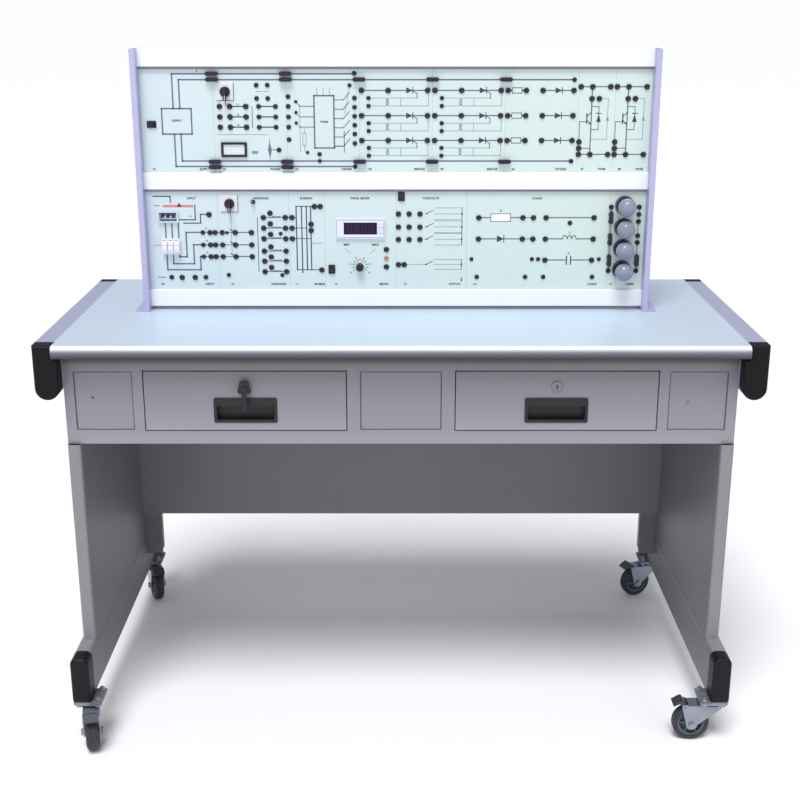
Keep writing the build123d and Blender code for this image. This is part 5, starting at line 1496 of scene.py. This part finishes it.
    def _load_module(self) -> None:
        """Resistor, diode, inductor and capacitor loads."""
        for v in (216.1, 237.8):
            self.socket_row((480.5, 525.1, 535.8, 548.5, 597), v)
            self.line((525.1, v), (535.8, v))
        self.wire((480.5, 216.1), (493.2, 216.1))
        self.wire((512.2, 216.1), (525.1, 216.1))
        self.fill((493.2, 212.6), (512.2, 212.6), (512.2, 219.6), (493.2, 219.6), ink=Ink.WHITE)
        self.outline((493.2, 212.6), (512.2, 219.6), width=Weight.BUS)
        self.wire((480.5, 237.8), (525.1, 237.8))
        self.triangle(499.4, 506.4, 237.8, 3.6, Ink.DARK)
        self.wire((548.5, 216.1), (597, 216.1))
        self.socket(572.8, 221.4, 0.86)
        self.wire((548.5, 237.8), (566, 237.8))
        self.wire((580, 237.8), (597, 237.8))
        for step in range(3):
            u = 566.0 + step * 4.67
            self.line((u, 237.8), (u + 0.9, 235.2), (u + 2.33, 234.2), (u + 3.77, 235.2), (u + 4.67, 237.8))
        self.wire((548.7, 259.6), (570.9, 259.6))
        self.wire((575.1, 259.6), (596.4, 259.6))
        for u in (570.9, 575.1):
            self.bold((u, 255.8), (u, 264.2))
        self.socket_row((548.7, 596.4), 259.6)
        self.socket_row((473.8, 603.8), 258.6, 0.74)
        self.socket_row((535.5, 541.8), 258.6, 0.78)
        self.socket_row((479.5, 529.1, 547.6, 597.6), 277.1, 0.84)
        for name, u, v in (("R", 502.6, 209), ("L", 573, 231.2), ("C", 573, 252.8)):
            self.label(name, u, v, 3)

    def _lamp_module(self) -> None:
        """Sockets on both sides of the lamps."""
        pairs = ((205.2, 212.7), (219.8, 234.4), (241.3, 256.2), (262.9, 270.6))
        for u in (613.9, 642.1):
            self.socket_column(u, sum(pairs, ()), 0.9)
            for upper, lower in pairs:
                self.line((u, upper), (u, lower))


@dataclass
class Rack(SubAssembly):
    """Uprights, rails, module plates, printed drawings and plug sockets."""

    LOOKS = {
        Palette.post: ("rack_upright_left", "rack_upright_right"),
        Palette.rack_rail: ("rack_rails",),
        Palette.plate: ("module_plates",),
        Palette.case: ("module_cases",),
        Palette.black: ("cable_gland",),
    }
    socket_outer: float = 5.9 * MM
    socket_bore: float = 2.05 * MM
    socket_proud: float = 2.2 * MM
    bore_depth: float = 0.3 * MM
    # Height of the painted shadow strips under the rails.
    seam_height: float = 4.0 * MM
    joint_half: float = 0.6 * MM
    module_width: float = 158.0 * MM
    upper_modules: tuple[float, ...] = (1, 1, 1, 1, 1, 1, 0.5, 0.5)
    lower_modules: tuple[float, ...] = (1, 1, 0.5, 1, 1, 2, 0.5)

    def build(self) -> None:
        """Print and fit out both rows."""
        grid = PanelGrid()
        rows = (UpperRow(grid, Row.UPPER).draw(), LowerRow(grid, Row.LOWER).draw())
        for row in rows:
            self.print_row(grid, row)
            self.print_labels(grid, row)
        self.fit_sockets(grid, rows)
        self.joints(grid)
        self.seams(grid)

    def print_row(self, grid: PanelGrid, row: Drawing) -> None:
        """Lay a row's printed lines on its plates.

        Args:
            grid: the drawing grid.
            row: the row's drawing.
        """
        inks = (Palette.ink, Palette.ink_pale, Palette.ink_dark, Palette.ink_red, Palette.label)
        film = Workpiece(f"{row.row.name.lower()}_row_print", *inks)
        y = grid.front - grid.film
        for points, width, ink in row.strokes:
            film.stroke([grid.at(row.row, *p) for p in points], width.value * MM, y, ink.value)
        for points, ink in row.fills:
            film.polygon([grid.at(row.row, *p) for p in points], y - grid.film / 2, ink.value)
        film.finish(ROOT_BODY, "panel_white")

    def print_labels(self, grid: PanelGrid, row: Drawing) -> None:
        """Set the plain captions, terminal names and scale marks.

        Args:
            grid: the drawing grid.
            row: the row's drawing.
        """
        marks = Workpiece(f"{row.row.name.lower()}_row_marks", Palette.ink_label)
        for text, u, v, height in row.labels:
            curve = bpy.data.curves.new("mark", "FONT")
            curve.body = text
            curve.size = height * MM * 2.0
            curve.offset = 0.22 * MM
            curve.align_x = "CENTER"
            curve.align_y = "CENTER"
            curve.resolution_u = 2
            writing = add_object("mark", curve)
            bpy.context.view_layer.update()
            drawn = writing.evaluated_get(bpy.context.evaluated_depsgraph_get())
            mesh = bpy.data.meshes.new_from_object(drawn)
            x, z = grid.at(row.row, u, v)
            mesh.transform(facing_user(x, grid.front - grid.film * 2, z))
            marks.bm.from_mesh(mesh)
            bpy.data.objects.remove(writing)
            bpy.data.curves.remove(curve)
            bpy.data.meshes.remove(mesh)
        marks.finish(ROOT_BODY, "panel_white")

    def fit_sockets(self, grid: PanelGrid, rows: tuple[Drawing, ...]) -> None:
        """Set a plug socket on every socket point: collar, contact sleeve and a dark disc of painted shade in
        the bore.

        Args:
            grid: the drawing grid.
            rows: both rows' drawings.
        """
        places, tan = [], []
        for row in rows:
            for found, sockets in ((places, row.sockets), (tan, row.tan_sockets)):
                for u, v, size in sockets:
                    x, z = grid.at(row.row, u, v)
                    found.append((x, grid.front, z, size))
        width = self.socket_outer - self.socket_bore
        collar = {
            "Middle Radius": (self.socket_outer + self.socket_bore) / 2,
            "Front Width": width - 1.2 * MM,
            "Back Width": width + 0.6 * MM,
            "Section Height": 2 * self.socket_proud,
        }
        sleeve = {
            "Middle Radius": self.socket_bore - 0.15 * MM,
            "Front Width": 0.5 * MM,
            "Back Width": 0.5 * MM,
            "Section Height": 2 * self.socket_proud - 1.2 * MM,
        }
        for name, points, finish, sizes in (
            ("plug_sockets", places, Palette.socket, collar),
            ("plug_sockets_tan", tan, Palette.socket_tan, collar),
            ("socket_sleeves", places + tan, Palette.sleeve, sleeve),
        ):
            put_on_body(grow(name, points, ring_tree(finish), sizes), ROOT_BODY)
        # Painted shade: a dark disc closes each bore just in front of the plate.
        bore_shade = Workpiece("socket_bore_shade", Palette.bezel_black)
        for x, y, z, size in places + tan:
            disc = [(self.socket_bore * size, self.bore_depth), (0.0, self.bore_depth)]
            bore_shade.lathe(disc, facing_user(x, y, z), 10, 0, False)
        bore_shade.finish(ROOT_BODY, "switch_black")

    def joints(self, grid: PanelGrid) -> None:
        """Close the hairline joints between neighbouring plates, a little behind their fronts.

        Args:
            grid: the drawing grid.
        """
        filler = Workpiece("plate_joints", Palette.joint)
        for row, modules in ((Row.UPPER, self.upper_modules), (Row.LOWER, self.lower_modules)):
            x = grid.centre_x - sum(modules) * self.module_width / 2
            low, high = grid.bottoms[row] + 1 * MM, grid.bottoms[row] + grid.module_height - 1 * MM
            for share in modules[:-1]:
                x += share * self.module_width
                strip = ((x - self.joint_half, low), (x + self.joint_half, high))
                filler.block(box_between(strip, grid.front + 0.25 * MM, grid.front + 1.2 * MM), 0.1 * MM)
        filler.finish(ROOT_BODY, "panel_white")

    def seams(self, grid: PanelGrid) -> None:
        """Dark strips of painted shadow under the top and middle rails.

        Args:
            grid: the drawing grid.
        """
        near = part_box("rack_rails")[0].y - 0.3 * MM
        left, right = (corner.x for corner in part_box("module_plates"))
        strips = Workpiece("rail_shadow_strips", Palette.seam)
        for row in Row:
            top = grid.bottoms[row] + grid.module_height
            strip = ((left, top - self.seam_height), (right, top))
            strips.block(box_between(strip, near, grid.front), 0.3 * MM)
        strips.finish(ROOT_BODY, "rack_metal")


@dataclass
class Controls(SubAssembly):
    """Switches, knobs, breaker, toggle, fuses, meters and links."""

    LOOKS = {
        Palette.black: (
            "rocker_upper", "rocker_lower_a", "rocker_lower_b",
            "selector_knob_upper", "selector_knob_lower", "potentiometer_knob",
        ),
        Palette.bezel_white: ("selector_plates",),
        Palette.surround: ("breaker_body",),
        Palette.chrome: ("toggle_lever",),
        Palette.link_black: ("bridging_plugs",),
        Palette.bezel_black: ("switch_frames",),
        Palette.fuse: ("fuse_block",),
    }
    lever_pitch: float = 12.6 * MM
    lever_tilt: float = 20.0
    lever_reach: float = 14.9 * MM
    pivot_depth: float = 7.0 * MM
    hub_radius: float = 6.8 * MM
    upper_meter: Point = (56 * MM, 32 * MM)
    upper_window: Point = (46 * MM, 22 * MM)
    lower_meter: Point = (111 * MM, 45 * MM)
    lower_window: Point = (74 * MM, 27 * MM)

    def build(self) -> None:
        """Build the levers, the meters and the marks."""
        self.breaker_levers()
        self.meters()
        self.fuse_marks()
        self.plate_outlines()
        self.knob_pointers()

    def breaker_levers(self) -> None:
        """Three black levers, narrow at the tip, on one pale barrel and joined by a thin bar."""
        low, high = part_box("breaker_handle")
        body_low, body_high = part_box("breaker_body")
        pivot = Vector(((low.x + high.x) / 2, high.y - self.pivot_depth, (body_low.z + body_high.z) / 2))
        levers = Workpiece("breaker_levers", Palette.surround, Palette.black)
        along = Matrix.Translation(pivot) @ Matrix.Rotation(math.pi / 2, 4, "Y")
        half, r, edge = (high.x - low.x) / 2 - 1.4 * MM, self.hub_radius, 0.4 * MM
        near_end = [(0.0, -half), (r - edge, -half), (r, -half + edge)]
        levers.lathe(near_end + [(radius, -height) for radius, height in reversed(near_end)], along, 40)
        turned = Matrix.Translation(pivot) @ Matrix.Rotation(math.radians(-self.lever_tilt), 4, "X")
        # Reach, half width at the foot, lowest and highest edge of each section of a lever.
        shape = (
            (2.0 * MM, 5.1 * MM, -4.8 * MM, 4.8 * MM),
            (8.0 * MM, 4.4 * MM, -3.6 * MM, 4.2 * MM),
            (self.lever_reach, 2.4 * MM, -1.9 * MM, 2.9 * MM),
        )
        tips = []
        for x in (-self.lever_pitch, 0.0, self.lever_pitch):
            sections = []
            for reach, wide, below, above in shape:
                corners = ((-wide, below), (wide, below), (wide * 0.7, above), (-wide * 0.7, above))
                sections.append([turned @ Vector((x + across, -reach, rise)) for across, rise in corners])
            levers.loft(sections, 0.5 * MM, 1)
            tips.append(turned @ Vector((x, -self.lever_reach + 2.4 * MM, 0.4 * MM)))
        levers.tube(tips, 1.1 * MM, 1, 10)
        levers.finish("breaker", "switch_black", ("breaker_handle",))

    def meters(self) -> None:
        """Rounded bezels with their display windows and resting digits."""
        low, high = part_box("meter_bezels")
        near, far = low.y, high.y
        window_near, window_far = (corner.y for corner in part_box("meter_windows"))
        bezels = Workpiece("meter_frames", Palette.bezel_black, Palette.bezel_white, Palette.rim)
        windows = Workpiece(
            "meter_displays", Palette.window_pale, Palette.window_dark, Palette.digit_dark, Palette.digit_off
        )
        upper = (low.x, high.z - self.upper_meter[1], low.x + self.upper_meter[0], high.z)
        lower = (high.x - self.lower_meter[0], low.z, high.x, low.z + self.lower_meter[1])
        for frame, window, layer, digits in (
            (upper, self.upper_window, 0, 3),
            (lower, self.lower_window, 1, 4),
        ):
            x0, z0, x1, z1 = frame
            x, z = (x0 + x1) / 2, (z0 + z1) / 2
            wide, tall = window[0] / 2, window[1] / 2
            for rectangle in (
                ((x0, z0), (x - wide, z1)),
                ((x + wide, z0), (x1, z1)),
                ((x - wide, z0), (x + wide, z - tall)),
                ((x - wide, z + tall), (x + wide, z1)),
            ):
                bezels.block(box_between(rectangle, near, far), 0.5 * MM, layer)
            wide, tall = wide - 0.15 * MM, tall - 0.15 * MM
            glass = ((x - wide, z - tall), (x + wide, z + tall))
            windows.block(box_between(glass, window_near, window_far), 0.2 * MM, layer)
            for index in range(digits):
                place = x + (index - (digits - 1) / 2) * wide * 2 / (digits + 0.6)
                self._digit(windows, place, z, tall * 0.62, window_near - 0.03 * MM, layer + 2)
        x, z = (lower[0] + lower[2]) / 2, (lower[1] + lower[3]) / 2
        for button in (z + 6.5 * MM, z - 6.5 * MM):
            for inset, proud, layer in ((0.0, 0.5 * MM, 2), (1.0 * MM, 0.9 * MM, 1)):
                start = (x + 40.5 * MM + inset, button - 4.5 * MM + inset)
                end = (x + 52.5 * MM - inset, button + 4.5 * MM - inset)
                bezels.block(box_between((start, end), near - proud, near + 0.4 * MM), 0.3 * MM, layer)
        self._rim(bezels, lower, near, 2)
        bezels.finish(ROOT_BODY, "bezel_white", ("meter_bezels",))
        windows.finish(ROOT_BODY, "window_dark", ("meter_windows",))

    @staticmethod
    def _rim(bezels: Workpiece, frame: tuple[float, ...], front: float, layer: int) -> None:
        """Fine raised line round the edge of the lower meter's frame.

        Args:
            bezels: the piece that takes it.
            frame: left, lower, right and upper edge.
            front: Y of the frame's face.
            layer: material slot.
        """
        inset, line, proud = 2.2 * MM, 1.3 * MM, 0.35 * MM
        x0, z0, x1, z1 = frame[0] + inset, frame[1] + inset, frame[2] - inset, frame[3] - inset
        for rectangle in (
            ((x0, z0), (x1, z0 + line)),
            ((x0, z1 - line), (x1, z1)),
            ((x0, z0 + line), (x0 + line, z1 - line)),
            ((x1 - line, z0 + line), (x1, z1 - line)),
        ):
            bezels.block(box_between(rectangle, front - proud, front + proud), 0.1 * MM, layer)

    @staticmethod
    def _digit(windows: Workpiece, x: float, z: float, half: float, y: float, layer: int) -> None:
        """Seven bars of one resting digit: three across, then four upright.

        Args:
            windows: the piece that takes it.
            x: its middle.
            z: its middle.
            half: half its height.
            y: depth of the plane.
            layer: material slot.
        """
        left, right = x - half * 0.55, x + half * 0.55
        bars = [((left, level), (right, level)) for level in (z + half, z, z - half)]
        for top in (z + half, z):
            bars += [((across, top), (across, top - half)) for across in (left, right)]
        for bar in bars:
            windows.stroke(list(bar), half * 0.18, y, layer)

    def plate_outlines(self) -> None:
        """Grey lines of painted shadow down the right and lower edges of the selector plates."""
        low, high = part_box("selector_plates")
        outline = Workpiece("selector_plate_shadows", Palette.rim_dark)
        front, line, size = low.y - 0.2 * MM, 1.9 * MM, high.x - low.x
        for bottom in (high.z - size, low.z):
            for rectangle in (
                ((high.x - line, bottom), (high.x, bottom + size)),
                ((low.x, bottom), (high.x - line, bottom + line)),
            ):
                outline.block(box_between(rectangle, front, front + 0.6 * MM), 0.1 * MM)
        outline.finish(ROOT_BODY, "bezel_white")

    def fuse_marks(self) -> None:
        """Reddish mark lines across the fuse caps."""
        low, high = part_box("fuse_block")
        marks = Workpiece("fuse_marks", Palette.fuse_red)
        width = (high.x - low.x) / 3
        for share, line in ((0.93, 1.6 * MM), (0.62, 0.9 * MM), (0.28, 0.9 * MM)):
            z = low.z + (high.z - low.z) * share
            for index in range(3):
                x, reach = low.x + width * (index + 0.5), width * 0.34
                mark = [(x - reach, z), (x + reach, z), (x + reach, z + line), (x - reach, z + line)]
                marks.polygon(mark, low.y - 0.05 * MM)
        marks.finish(ROOT_BODY, "fuse_white")

    def knob_pointers(self) -> None:
        """White index lines on the selector knobs."""
        for place in ("upper", "lower"):
            low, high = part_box(f"selector_knob_{place}")
            x, half, foot, tip = (low.x + high.x) / 2, 0.45 * MM, low.z + 2 * MM, low.z + 12 * MM
            line = Workpiece(f"selector_{place}_index", Palette.label)
            mark = [(x - half, foot), (x + half, foot), (x + half, tip), (x - half, tip)]
            line.polygon(mark, low.y - 0.03 * MM)
            line.finish(f"selector_{place}", "bezel_white")


@dataclass
class Lamps(SubAssembly):
    """Four globe lamps in round holders."""

    LOOKS = {Palette.holder: ("lamp_holders",)}
    glass_wall: float = 0.7 * MM
    globe_step: float = 6.1
    neck: float = 9.5 * MM
    cap_radius: float = 10.4 * MM
    cap_height: float = 9.0 * MM
    thread: float = 1.2 * MM
    filament_reach: float = 6.0 * MM
    above_row: tuple[float, ...] = (45 * MM, 93 * MM, 140 * MM, 189 * MM)

    def build(self) -> None:
        """Build each lamp's glass, cap and filament."""
        low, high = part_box("lamp_bulbs")
        radius = (high.x - low.x) / 2
        front = low.y + radius
        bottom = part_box("module_plates")[0].z
        globes = Workpiece("lamp_globes", Palette.glass)
        insides = Workpiece("lamp_insides", Palette.lamp_cap, Palette.filament)
        for above in self.above_row:
            place = facing_user((low.x + high.x) / 2, front, bottom + above)
            self._globe(globes, place, radius, front - high.y)
            self._inside(insides, place, front - high.y)
        globes.finish(ROOT_BODY, "lamp_glass", ("lamp_bulbs",))
        insides.finish(ROOT_BODY, "lever_metal")

    def _globe(self, globes: Workpiece, place: Matrix, radius: float, seat: float) -> None:
        """Thin glass globe with its neck, as an outer and an inner wall.

        Args:
            globes: the piece that takes the glass.
            place: the globe's middle, its z axis towards the user.
            radius: of the globe.
            seat: height of the holder's floor on that axis.
        """
        for shrink in (0.0, self.glass_wall):
            r, neck = radius - shrink, self.neck - shrink
            turns = [math.pi / 2 - math.radians(step * self.globe_step) for step in range(1, 25)]
            profile = [(0.0, r), *((r * math.cos(turn), r * math.sin(turn)) for turn in turns)]
            base = seat + self.cap_height
            profile += [(neck + 1.2 * MM, -r * 0.92), (neck, -r * 1.02), (neck, base), (0.0, base)]
            before = set(globes.bm.faces)
            globes.lathe(profile, place, 48)
            if shrink:
                bmesh.ops.reverse_faces(globes.bm, faces=[f for f in globes.bm.faces if f not in before])

    def _inside(self, insides: Workpiece, place: Matrix, seat: float) -> None:
        """Screw cap, glass stem wires and the filament.

        Args:
            insides: the piece that takes them.
            place: the globe's middle, its z axis towards the user.
            seat: height of the holder's floor on that axis.
        """
        cap = [(0.0, seat), (self.cap_radius, seat)]
        for step in range(5):
            base = seat + self.thread * step
            cap.append((self.cap_radius + 0.8 * MM, base + self.thread / 2))
            cap.append((self.cap_radius, base + self.thread))
        top, bore = seat + self.cap_height, 9.6 * MM
        cap += [(9.9 * MM, top), (bore, top), (bore, top - 1 * MM), (0.0, top - 1 * MM)]
        insides.lathe(cap, place, 40)
        reach, rise = self.filament_reach, 2.0 * MM
        for side in (-1, 1):
            start = place @ Vector((side * rise, 0, seat + 7.0 * MM))
            end = place @ Vector((side * reach, 0, rise))
            insides.tube([start, (start + end) / 2, end], 0.35 * MM, 1, 6)
        turns = [math.pi * step / 12 for step in range(13)]
        arc = [place @ Vector((reach * math.cos(turn), reach / 2 * math.sin(turn), rise)) for turn in turns]
        insides.tube(arc, 0.5 * MM, 1, 6)


# All together


def main() -> None:
    """Build the whole picture in order."""
    logging.basicConfig(level=logging.INFO, format="%(name)s %(message)s")
    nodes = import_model()["nodes"]
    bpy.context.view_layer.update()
    Studio().build()
    for part in (Desk(), Drawers(), Castors(), Rack(), Controls(), Lamps()):
        part.dress(nodes)
        part.build()
        log.info("%s done", type(part).__name__)


if __name__ == "__main__":
    main()
